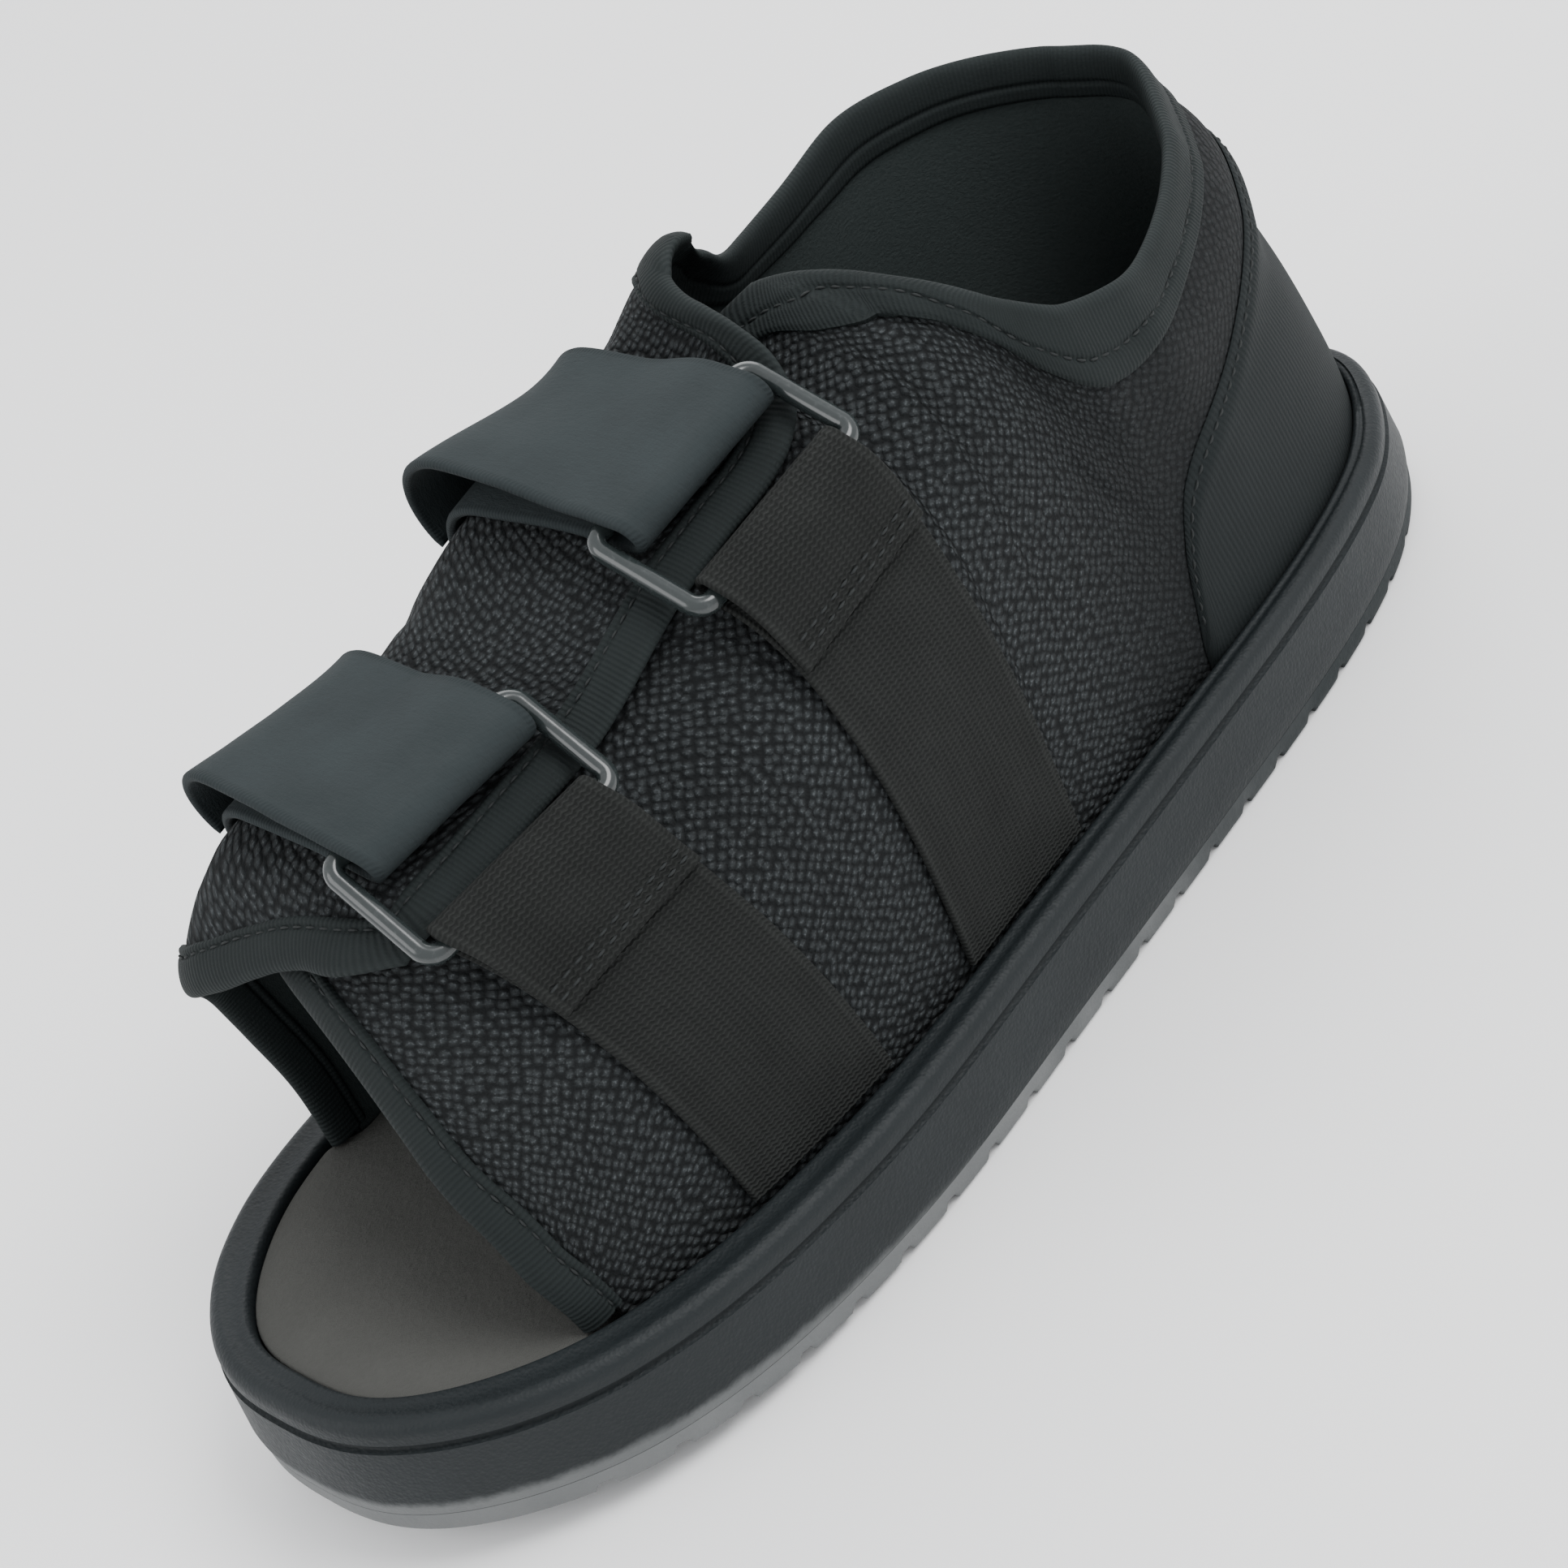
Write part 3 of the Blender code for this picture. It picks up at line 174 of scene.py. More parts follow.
widest = np.max(rawOutline(np.linspace(0.0, 0.5, 400))[1])


# The outline drawn in along its normal by an inset, and the normal
def outline(turn, inset=0.0):
    turn = np.asarray(turn, dtype=float)
    width = 0.5 * shoe["ball"] / widest
    x, y = rawOutline(turn)
    xBack, yBack = rawOutline(turn - 0.002)
    xOn, yOn = rawOutline(turn + 0.002)
    runX, runY = xOn - xBack, (yOn - yBack) * width
    length = np.hypot(runX, runY)
    outX, outY = runY / length, -runX / length
    return x - inset * outX, y * width - inset * outY, outX, outY


# The underside lifts with the square of the way past the toe break and the heel break
def groundRise(x):
    share = x / shoe["length"] + 0.5
    toe = np.clip((share - shoe["toeBreak"]) / (1 - shoe["toeBreak"]), 0, 1.2) ** 2
    heel = np.clip((shoe["heelBreak"] - share) / shoe["heelBreak"], 0, 1.2) ** 2
    return shoe["toeSpring"] * toe + shoe["heelSpring"] * heel


# Width of the midsole's rim: its rows' share of the ball
def rimWidth(turn):
    return smooth(rimShare, rimSize, shareOf(turn)) * shoe["ball"]


# The collar's ribs by turn, met at both ends by the first two sections of the instep
def collarTable():
    rows = []
    for side, picked in ((1, 3), (-1, 6)):
        for section in sectionRows[:2]:
            crown = (section[0], section[2], section[1])
            rows.append((turnOf(section[0], side), *crown, *section[picked:picked + 3], 0.0))
    rows += [(turnOf(base, side), *rest) for side, base, *rest in collarRows]
    return table(sorted(rows))


sectionColumns = table(sectionRows)
collarColumns = collarTable()


# Pulls of the ribs: across sections in front of the throat, by turn around the collar behind it
def rib(turn):
    share = shareOf(turn)
    knots, height, across, *pulls = sectionColumns
    section = [share, smooth(knots, across, share), smooth(knots, height, share)]
    for column in range(3):
        nearPull = smooth(knots, pulls[column], share)
        section.append(np.where(turn < 0.5, nearPull, smooth(knots, pulls[column + 3], share)))
    section.append(np.zeros_like(share))
    collar = [smooth(collarColumns[0], column, turn) for column in collarColumns[1:]]
    return [np.where(share > shoe["throat"], a, b) for a, b in zip(section, collar)]


# The upper's skin: at each turn a Bezier rib from the footbed to the collar or crown; a climb past 1
# on the forefoot runs down the rib of the other side
def skin(turn, climb):
    turn, climb = np.broadcast_arrays(np.mod(np.asarray(turn, float), 1.0), np.asarray(climb, float))
    over = (climb > 1) & (shareOf(turn) > shoe["throat"])
    turn = np.where(over, 1 - turn, turn)
    climb = np.where(over, 2 - climb, climb)
    along, across, height, bulge, rise, spread, dip = rib(turn)
    x, y, outX, outY = outline(turn, rimWidth(turn) + shoe["seatGap"])
    front = shareOf(turn) > shoe["throat"]
    x = np.where(front, (along - 0.5) * shoe["length"], x)
    outX = np.where(front, 0.0, outX)
    outY = np.where(front, np.where(turn < 0.5, 1.0, -1.0), outY)
    base = np.stack([x, y, seat + groundRise(x)], axis=-1)
    top = np.stack([(along - 0.5) * shoe["length"], across * shoe["ball"],
                    seat + height * shoe["instep"]], axis=-1)
    out = np.stack([outX, outY, np.zeros_like(outX)], axis=-1)
    tall = (top[..., 2] - base[..., 2])[..., None]
    up = np.array([0.0, 0.0, 1.0])
    lowPull = base + out * (bulge * shoe["ball"])[..., None] + up * tall * rise[..., None]
    highPull = top + out * (spread * shoe["ball"])[..., None] - up * tall * dip[..., None]
    part = climb[..., None]
    left = 1 - part
    return (left ** 3 * base + 3 * left ** 2 * part * lowPull
            + 3 * left * part ** 2 * highPull + part ** 3 * top)


# The way out of the skin: the cross product of its steps round and up
def skinNormal(turn, climb):
    turn, climb = np.broadcast_arrays(np.asarray(turn, float), np.asarray(climb, float))
    around = skin(turn + 0.002, climb) - skin(turn - 0.002, climb)
    return unit(np.cross(around, skin(turn, climb + 0.01) - skin(turn, climb - 0.01)))


padSizes = {"swell": 0.0046, "from": 0.50, "over": 0.46, "sides": 0.55, "back": (0.0, 0.14),
            "fade": (0.20, 0.38)}


# The collar's foam swells as a squared sine across its band
def pad(turn, climb):
    size, share = padSizes, shareOf(turn)
    band = np.sin(np.pi * np.clip((climb - size["from"]) / size["over"], 0, 1)) ** 2
    back = size["sides"] + (1 - size["sides"]) * (1 - ease(*size["back"], share))
    return size["swell"] * band * (1 - ease(*size["fade"], share)) * back


lapSizes = {"onTape": (0.43, 0.50), "offTape": (0.76, 0.81), "climb": (0.35, 0.80),
            "share": (0.345, 0.395)}
flareSizes = {"out": 0.0060, "climb": (0.60, 0.95), "fade": (0.405, 0.455), "share": (0.375, 0.402)}


# How far the outer face stands off the skin: pad, the flap's lap and its flared rear edge
def lift(turn, climb):
    share = shareOf(turn)
    size, edge = lapSizes, flareSizes
    between = ease(*size["onTape"], share) * (1 - ease(*size["offTape"], share))
    lap = lapOver + (tape + gap) * (1 - between)
    lap = lap * ease(*size["climb"], climb) * ease(*size["share"], share)
    flare = edge["out"] * ease(*edge["climb"], climb) * ease(*edge["share"], share)
    flare = flare * (1 - ease(*edge["fade"], share))
    return pad(turn, climb) + np.where(np.mod(turn, 1.0) > 0.5, lap + flare, 0.0)


# The climb at a height above the ground, read back from the heights along each rib
def climbAtHeight(turn, height):
    climbs = np.linspace(0.0, 0.4, 80)
    points = skin(np.asarray(turn)[:, None] + 0 * climbs, climbs[None, :] + 0 * np.asarray(turn)[:, None])
    above = points[..., 2] - groundRise(points[..., 0])
    return np.array([np.interp(height, row, climbs) for row in above])


# How far along two tangents a step in space goes: the least squares answer
def twoSteps(one, two, step):
    aa, ab, bb = (one ** 2).sum(-1), (one * two).sum(-1), (two ** 2).sum(-1)
    sa, sb = (one * step).sum(-1), (two * step).sum(-1)
    whole = aa * bb - ab * ab
    return (sa * bb - sb * ab) / whole, (sb * aa - sa * ab) / whole


def climbTangent(turn, climb):
    return (skin(turn, climb + 0.005) - skin(turn, climb - 0.005)) / 0.010


# An edge path moved into the sheet by a width, mitred at its corners
def inward(path, width):
    turn, climb = path
    leg = unit(np.diff(skin(turn, climb), axis=0))
    before, after = np.concatenate([leg[:1], leg]), np.concatenate([leg, leg[-1:]])
    halfAngle = np.sqrt(np.clip((1 + (before * after).sum(axis=1)) / 2, 0.45, 1))
    side = np.cross(unit(before + after), skinNormal(turn, climb)) * (width / halfAngle / 4)[:, None]
    for _ in range(4):
        byTurn = (skin(turn + 0.001, climb) - skin(turn - 0.001, climb)) / 0.002
        turnStep, climbStep = twoSteps(byTurn, climbTangent(turn, climb), side)
        turn, climb = turn + turnStep, climb + climbStep
    return np.array([turn, climb])


# Edge up the near side of the toe, from the top of the insole to a climb
def toePath(end):
    climbs, shares = table(toeEdgeRows)
    start = climbAtHeight([turnOf(shares[0])], footbed + shoe["insole"] + 3 * gap)[0]
    climb = np.linspace(start, end, 13)
    return np.array([turnOf(smooth(climbs, shares, climb)), climb])


# Edge round the collar: under the flap on the near side, round the heel, up to the flap's notch
def collarPath():
    reachShare, reach = table(nearReachRows)
    farShare, farReach = table(farReachRows)
    hidden = np.array([shoe["collarEnd"], 0.5 * (shoe["collarEnd"] + shoe["throat"])])
    turns = np.concatenate([
        turnOf(np.concatenate([hidden, np.linspace(shoe["throat"], 0.30, 6)])),
        np.linspace(turnOf(0.30), turnOf(0.30, -1), 24)[1:-1],
        turnOf([0.30, 0.33, 0.3550, 0.3740, farShare[-1]], -1),
    ])
    share = shareOf(turns)
    near = np.where(share > shoe["throat"], smooth(reachShare, reach, share), 1.0)
    return np.array([turns, np.where(turns < 0.5, near, smooth(farShare, farReach, share))])


# Edge of the flap: along its rear and near side, and down the far side of the toe
def flapPath():
    shares, climbs = table(flapRows)
    turns = turnOf(shares, -1)
    end = climbAtHeight(turns[-1:], footbed + shoe["insole"] + 3 * gap)
    return np.array([np.append(turns, turns[-1]), np.append(climbs, end)])


bindingWidth = {"collar": 0.0095, "edge": 0.0075, "toePlay": 2.2, "evened": (3, 30), "passes": 6,
                "cornerCut": 0.30}


# The collar's and the flap's edge on one path, that path moved in by the tape's width and a gap, and
# the count of the collar's places; the collar's seam is evened half way to its neighbours' middle
def edgePaths(between):
    collar, flap = collarPath(), flapPath()
    whole = np.concatenate([collar, flap[:, 1:]], axis=1)
    count = collar.shape[1]
    width = np.full(whole.shape[1], bindingWidth["edge"])
    width[:count] = bindingWidth["collar"]
    width[count - 1] = 0.5 * (bindingWidth["collar"] + bindingWidth["edge"])
    gaps = np.full(whole.shape[1], between)
    gaps[count + flapCorner:] *= bindingWidth["toePlay"]
    inside = inward(whole, width + gaps)
    first, last = bindingWidth["evened"]
    for _ in range(bindingWidth["passes"]):
        middle = 0.5 * (inside[:, first - 1:last - 1] + inside[:, first + 1:last + 1])
        inside[:, first:last] = 0.5 * (inside[:, first:last] + middle)
    return whole, inside, count


# The inner edge of the toe's tape up a path: the path moved in by the tape's width less a little
def toeInside(toe, less=0.0):
    return inward(toe, np.full(toe.shape[1], bindingWidth["edge"] - less))


# A path or grid worked out at fine steps between its knots: cubic pieces whose slope at a knot is
# that of the parabola through its neighbours, with a fresh start at each corner
def finer(values, knots, times, corners=()):
    values = np.asarray(values, dtype=float)
    stops = [0, *corners, len(values) - 1]
    pieces = []
    for first, last in zip(stops, stops[1:]):
        own, knot = values[first:last + 1], knots[first:last + 1]
        slope = np.gradient(own, knot, axis=0)
        at = np.linspace(0, len(own) - 1, (len(own) - 1) * times + 1)[0 if first == 0 else 1:]
        piece = np.minimum(at.astype(int), len(own) - 2)
        shape = (-1,) + (1,) * (values.ndim - 1)
        part = (at - piece).reshape(shape)
        length = np.diff(knot)[piece].reshape(shape)
        pieces.append(cubic(part, length, own[piece], own[piece + 1], slope[piece], slope[piece + 1]))
    return np.concatenate(pieces)


# Knots of a path of turns and climbs: its running length on the skin
def knotsOf(path):
    legs = np.linalg.norm(np.diff(skin(*path), axis=0), axis=1)
    return np.concatenate([[0.0], np.cumsum(legs)])


print("shape functions ready")


# One output socket; the operators add Math nodes
class Wire:
    def __init__(self, finish, socket):
        self.finish, self.socket = finish, socket

    def math(self, operation, *values):
        return self.finish.node("Math", {"operation": operation}, dict(enumerate(values)))

    def __add__(self, other): return self.math("ADD", self, other)
    def __radd__(self, other): return self.math("ADD", other, self)
    def __sub__(self, other): return self.math("SUBTRACT", self, other)
    def __rsub__(self, other): return self.math("SUBTRACT", other, self)
    def __mul__(self, other): return self.math("MULTIPLY", self, other)
    def __rmul__(self, other): return self.math("MULTIPLY", other, self)
    def sin(self): return self.math("SINE", self)
    def wave(self): return self.sin() * 0.5 + 0.5
    def atMost(self, other): return self.math("MINIMUM", self, other)

    # Soft step of the value from 0 at start to 1 at end
    def rise(self, start, end):
        return self.finish.node("MapRange", {"interpolation_type": "SMOOTHSTEP"},
                                {"Value": self, "From Min": start, "From Max": end})


# A material with one Principled shader between two tones; constants go on the shader's own sockets
class Finish:
    def __init__(self, name, tones, roughness, specular=0.5, **constants):
        self.tones, color = tones, tones[0]
        self.material = bpy.data.materials.new(name)
        self.material.use_nodes = True
        self.tree = self.material.node_tree
        self.shader = self.tree.nodes["Principled BSDF"]
        self.material.diffuse_color = (*color, 1.0)
        self.put("Base Color", color)
        self.put("Roughness", roughness)
        self.put("Specular IOR Level", specular)
        for key, value in constants.items():
            self.put(key, value)

    def put(self, key, value):
        self.fill(self.shader.inputs[key], value)

    def fill(self, socket, value):
        if isinstance(value, Wire):
            self.tree.links.new(value.socket, socket)
        elif isinstance(value, (tuple, list)) and socket.type == "RGBA":
            socket.default_value = (*value[:3], 1.0)
        else:
            socket.default_value = value

    # Any node: its type, its settings, then its sockets' values or links, and which output it gives
    def node(self, kind, settings=None, values=None, out=0):
        made = self.tree.nodes.new("ShaderNode" + kind)
        for key, value in (settings or {}).items():
            setattr(made, key, value)
        for key, value in (values or {}).items():
            self.fill(made.inputs[key], value)
        return Wire(self, made.outputs[out])

    def place(self):
        return self.node("TexCoord", out="Object")

    # The piece's own cloth coordinates in mm, or one of them: 0 across, 1 along, 2 to the nearest edge
    def cloth(self, axis=None):
        whole = self.node("Attribute", {"attribute_name": "cloth"}, out="Vector")
        return whole if axis is None else self.node("SeparateXYZ", {}, {0: whole}, out=axis)

    def value(self, name):
        return self.node("Attribute", {"attribute_name": name}, out="Fac")

    def noise(self, vector, scale, detail=2.0, rough=0.5):
        return self.node("TexNoise", {}, {"Vector": vector, "Scale": scale, "Detail": detail,
                                          "Roughness": rough})

    def mix(self, factor, one, two):
        return self.node("Mix", {"data_type": "RGBA"}, {0: factor, 6: one, 7: two}, out=2)

    # The surface's colour: from the dark tone at 0 to the light one at 1
    def shade(self, part):
        self.put("Base Color", self.mix(part, *self.tones))

    def bump(self, height, distance, strength=1.0):
        self.put("Normal", self.node("Bump", {}, {"Height": height, "Distance": distance,
                                                  "Strength": strength}))


# Colours in linear light: the darkest and the lightest of each finish
tones = {
    "mesh": ((0.0010, 0.0013, 0.0015), (0.056, 0.063, 0.066)),
    "lining": ((0.014, 0.019, 0.019), (0.034, 0.042, 0.041)),
    "counter": ((0.0045, 0.0065, 0.0068), (0.0120, 0.0155, 0.0160)),
    "tape": ((0.0045, 0.0068, 0.0068), (0.0180, 0.0230, 0.0230)),
    "strap": ((0.0135, 0.0175, 0.0185), (0.0340, 0.0420, 0.0440)),
    "webbing": ((0.0048, 0.0054, 0.0051), (0.0240, 0.0258, 0.0244)),
    "foam": ((0.0045, 0.0068, 0.0078), (0.0120, 0.0155, 0.0170)),
    "rubberPale": ((0.085, 0.090, 0.091), (0.165, 0.170, 0.170)),
    "felt": ((0.038, 0.039, 0.036), (0.076, 0.076, 0.071)),
    "ring": ((0.018, 0.023, 0.023), (0.050, 0.056, 0.057)),
    "thread": ((0.004, 0.0055, 0.0055), (0.010, 0.013, 0.013)),
}
heelRubber = (0.013, 0.017, 0.018)


# Open mesh: cells 1.9 mm apart whose raised yarn catches the light, with dark holes between
def meshFinish():
    made = Finish("openMesh", tones["mesh"], 0.82, 0.18)
    flat = made.node("Mapping", {}, {"Vector": made.cloth(), "Rotation": (0.0, 0.0, 0.62),
                                     "Scale": (1.0, 1.18, 0.0)})
    wander = made.noise(flat, 0.05, 2.0)
    cell = made.node("TexVoronoi", {"voronoi_dimensions": "2D", "feature": "F1"},
                     {"Vector": flat, "Scale": 0.54, "Randomness": 0.5})
    knot = cell.rise(0.66, 0.10)
    yarn = made.noise(flat, 1.6, 3.0, 0.65)
    coarse = made.value("coarse")
    glint = yarn.rise(0.50, 0.72) * knot * coarse
    tone = 0.16 * yarn + knot * (0.10 + 0.30 * yarn + 0.25 * wander) * coarse + 0.75 * glint
    made.shade(tone.atMost(1.0))
    made.put("Roughness", 0.90 - 0.35 * glint)
    made.bump(knot * (0.25 + 0.55 * coarse) + yarn * 0.35, 0.0011, 0.9)
    return made.material


# Lining: a soft brushed nap, a little paler than the tapes
def liningFinish():
    made = Finish("lining", tones["lining"], 0.95, 0.2)
    nap = made.noise(made.cloth(), 1.2, 4.0, 0.7)
    made.shade(nap)
    made.bump(nap, 0.0005, 0.6)
    return made.material


# Close knit: fine wales up the heel with a soft mottle
def counterFinish():
    made = Finish("counterKnit", tones["counter"], 0.80, 0.16)
    whole = made.cloth()
    mottle = made.noise(whole, 0.07, 3.0)
    grain = made.noise(whole, 2.2, 3.0, 0.6)
    wale = (made.cloth(0) * 5.2 + 1.4 * grain).wave()
    made.shade((0.35 * mottle + 0.35 * grain + 0.25 * wale).atMost(1.0))
    made.put("Roughness", 0.70 + 0.2 * grain)
    made.bump(0.5 * wale + grain, 0.00035, 0.6)
    return made.material


# Folded tape: ribs across it every 0.9 mm, paler along its rounded edge
def tapeFinish():
    made = Finish("foldedTape", tones["tape"], 0.78, 0.18)
    whole = made.cloth()
    grain = made.noise(whole, 1.9, 3.0, 0.6)
    ribs = (made.cloth(1) * 7.0 + 1.2 * grain).wave() * (0.6 + 0.4 * grain)
    mottle = made.noise(whole, 0.12, 2.0)
    # Lighter within 2.6 mm of the tape's rounded edge
    paleEdge = made.cloth(2).rise(2.6, 0.2)
    made.shade((0.22 * ribs + 0.3 * mottle + 0.32 * paleEdge + 0.16 * grain).atMost(1.0))
    made.put("Roughness", 0.68 + 0.2 * grain)
    made.bump(0.6 * ribs + 0.5 * grain, 0.00045, 0.55)
    return made.material


# Brushed loop: a short nap laid along the strap, flatter and darker in the selvedge
def strapFinish():
    made = Finish("brushedLoop", tones["strap"], 0.88, 0.15)
    whole = made.cloth()
    combed = made.node("VectorMath", {"operation": "MULTIPLY"}, {0: whole, 1: (1.0, 0.35, 0.0)})
    nap = made.noise(combed, 1.3, 4.0, 0.78)
    mottle = made.noise(whole, 0.06, 3.0)
    selvedge = made.cloth(2).rise(2.0, 1.1)
    fine = (made.cloth(1) * 8.0).wave()
    made.shade(0.40 * nap + 0.50 * mottle - 0.22 * selvedge + 0.05 * fine)
    made.put("Roughness", 0.80 + 0.15 * nap)
    made.bump(nap * (1 - 0.6 * selvedge) + 0.25 * fine * selvedge, 0.0006, 0.55)
    return made.material


# Ribbed weave: picks across the webbing that shift with each warp end, and a firm selvedge
def webbingFinish():
    made = Finish("ribbedWebbing", tones["webbing"], 0.84, 0.16)
    whole = made.cloth()
    grain = made.noise(whole, 1.7, 3.0, 0.6)
    warp = (made.cloth(0) * 4.4).sin()
    pick = (made.cloth(1) * 7.2 + 0.9 * warp + 2.2 * grain).wave()
    mottle = made.noise(whole, 0.09, 3.0)
    selvedge = made.cloth(2).rise(2.2, 1.2)
    made.shade((pick * (0.16 + 0.34 * grain) + 0.42 * mottle + 0.10 * selvedge).atMost(1.0))
    made.put("Roughness", 0.90 - 0.20 * pick * grain)
    made.bump(pick * (1 - 0.4 * selvedge) + 0.25 * warp, 0.0007, 0.7)
    return made.material


# Moulded foam: satin skin with tiny pits, scuffed a little paler low on the side
def foamFinish():
    made = Finish("mouldedFoam", tones["foam"], 0.55, 0.24)
    where = made.place()
    pits = made.node("TexVoronoi", {"feature": "F1"}, {"Vector": where, "Scale": 1500.0,
                                                       "Randomness": 1.0})
    skinNoise = made.noise(where, 900.0, 3.0, 0.6)
    mottle = made.noise(where, 45.0, 4.0, 0.55)
    level, forward = made.value("level"), made.value("share")
    ragged = made.noise(where, 260.0, 3.0, 0.7)
    bandTop = 3.0 + 4.2 * forward.rise(0.45, 0.93) + 2.0 * (ragged - 0.5)
    pale = (bandTop - level).rise(-1.1, 1.3)
    dark = made.mix((0.30 + 0.9 * (mottle - 0.5) + 0.3 * skinNoise).atMost(1.0), *tones["foam"])
    chalk = made.mix(mottle, *tones["rubberPale"])
    made.put("Base Color", made.mix(pale * (0.25 + 0.65 * forward.rise(0.4, 0.9)), dark, chalk))
    made.put("Roughness", 0.46 + 0.22 * skinNoise + 0.12 * pale)
    made.bump(pits * 0.6 + skinNoise * 0.8, 0.00022, 0.55)
    return made.material


# Tread rubber: pale grey under the forefoot, darkening towards the heel
def rubberFinish():
    made = Finish("treadRubber", tones["rubberPale"], 0.85, 0.3)
    where = made.place()
    forward = made.value("share")
    grain = made.noise(where, 700.0, 4.0, 0.65)
    patch = made.noise(where, 60.0, 3.0)
    pale = (forward + 0.25 * (patch - 0.5)).rise(0.22, 0.62)
    rubber = made.mix((0.3 + 0.8 * (patch - 0.3)).atMost(1.0), *tones["rubberPale"])
    made.put("Base Color", made.mix(pale, heelRubber, rubber))
    made.put("Roughness", 0.72 + 0.2 * grain)
    made.bump(grain, 0.0004, 0.6)
    return made.material


# Napped felt: short tangled fibres and a soft mottle
def feltFinish():
    made = Finish("nappedFelt", tones["felt"], 0.97, 0.15)
    where = made.place()
    brushed = made.node("Mapping", {}, {"Vector": where, "Scale": (0.55, 1.0, 1.0),
                                        "Rotation": (0.0, 0.0, 0.5)})
    fibre = made.noise(brushed, 1100.0, 4.0, 0.75)
    mottle = made.noise(where, 26.0, 4.0, 0.55)
    made.shade((0.35 * fibre + 0.75 * mottle - 0.05).atMost(1.0))
    made.bump(fibre, 0.0007, 0.55)
    return made.material


# Coated wire: glossy, with faint waves and rub marks in its coat
def ringFinish():
    made = Finish("coatedWire", tones["ring"], 0.24, 0.45,
                  **{"Coat Weight": 0.25, "Coat Roughness": 0.06})
    where = made.place()
    rub = made.noise(where, 900.0, 4.0, 0.7)
    made.shade(rub.rise(0.52, 0.75) * 0.5)
    made.put("Roughness", 0.14 + 0.14 * rub)
    made.bump(made.noise(where, 160.0, 2.0), 0.0006, 0.15)
    return made.material


# Sewing thread: dark, with its plies as fine noise
def threadFinish():
    made = Finish("sewingThread", tones["thread"], 0.75, 0.4)
    ply = made.noise(made.place(), 2600.0, 2.0)
    made.shade(ply)
    made.bump(ply, 0.0002, 0.6)
    return made.material


finishes = {
    "mesh": meshFinish(), "lining": liningFinish(), "counter": counterFinish(), "tape": tapeFinish(),
    "strap": strapFinish(), "webbing": webbingFinish(), "foam": foamFinish(), "rubber": rubberFinish(),
    "felt": feltFinish(), "ring": ringFinish(), "thread": threadFinish(),
}
print("finishes:", len(finishes))


def addObject(data):
    made = bpy.data.objects.new(data.name, data)
    bpy.context.scene.collection.objects.link(made)
    return made


# A mesh object from points and faces, with its faces turned out, riding on the shoe
def addPiece(name, points, faces, finish, nodes=(), inner=None, cloth=None, values=None, angle=50):
    mesh = bpy.data.meshes.new(name)
    mesh.from_pydata(np.asarray(points).tolist(), [], [list(map(int, face)) for face in faces])
    for key in (finish, *([inner[0]] if inner else [])):
        mesh.materials.append(finishes[key])
    if inner:
        mesh.polygons.foreach_set("material_index", inner[1].astype(np.int32))
    if cloth is not None:
        layer = mesh.attributes.new("cloth", "FLOAT_VECTOR", "POINT")
        layer.data.foreach_set("vector", (np.asarray(cloth) * 1000).astype(np.float32).ravel())
    for key, value in (values or {}).items():
        layer = mesh.attributes.new(key, "FLOAT", "POINT")
        layer.data.foreach_set("value", np.asarray(value, dtype=np.float32))
    work = bmesh.new()
    work.from_mesh(mesh)
    bmesh.ops.recalc_face_normals(work, faces=work.faces)
    work.to_mesh(mesh)
    work.free()
    mesh.shade_smooth()
    mesh.set_sharp_from_angle(angle=math.radians(angle))
    piece = addObject(mesh)
    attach(piece, "root")
    if nodes:
        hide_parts(*nodes)
    print("piece:", name, len(mesh.polygons), "faces")
    return piece


# Quads between the points of a grid, its first axis joined round if closed
def gridFaces(index, closed=False):
    if closed:
        index = np.concatenate([index, index[:1]])
    return np.stack([index[:-1, :-1], index[1:, :-1], index[1:, 1:], index[:-1, 1:]],
                    axis=-1).reshape(-1, 4)


# A sheet with an outer and an inner grid, closed along its whole border
def sheetFaces(shape):
    columns, rows = shape
    count = columns * rows
    index = np.arange(count).reshape(columns, rows)
    outer = gridFaces(index)
    border = np.concatenate([index[:, 0], index[-1, 1:], index[-2::-1, -1], index[0, -2:0:-1]])
    onward = np.roll(border, -1)
    rim = np.stack([onward, border, border + count, onward + count], axis=1)
    isInner = np.concatenate([np.zeros(len(outer)), np.ones(len(outer)), np.zeros(len(rim))])
    return np.concatenate([outer, outer[:, ::-1] + count, rim]), isInner


# Running length along the first (0) or second (1) axis of a grid of points
def runLength(points, axis):
    legs = np.linalg.norm(np.diff(points, axis=axis), axis=-1)
    start = np.zeros_like(np.take(legs, [0], axis=axis))
    return np.cumsum(np.concatenate([start, legs], axis=axis), axis=axis)


# Cloth coordinates of a grid: round it from one of its columns, up it, and to its nearest free edge
def clothGrid(points, column):
    around, up = runLength(points, 0), runLength(points, 1)
    edge = np.minimum(up[:, -1:] - up, np.minimum(around, around[-1:] - around))
    return around - around[column], up, edge


# A sheet's piece from the grids of its outer and inner face, with cloth coordinates and its lining
def addSheet(name, node, finish, outer, inner, cloth, lining=None, values=None):
    points = np.concatenate([outer.reshape(-1, 3), inner.reshape(-1, 3)])
    faces, isInner = sheetFaces(outer.shape[:2])
    return addPiece(name, points, faces, finish, [node], (lining, isInner) if lining else None,
                    np.tile(np.stack(cloth, axis=-1).reshape(-1, 3), (2, 1)),
                    {key: np.tile(value.ravel(), 2) for key, value in (values or {}).items()}, 70)


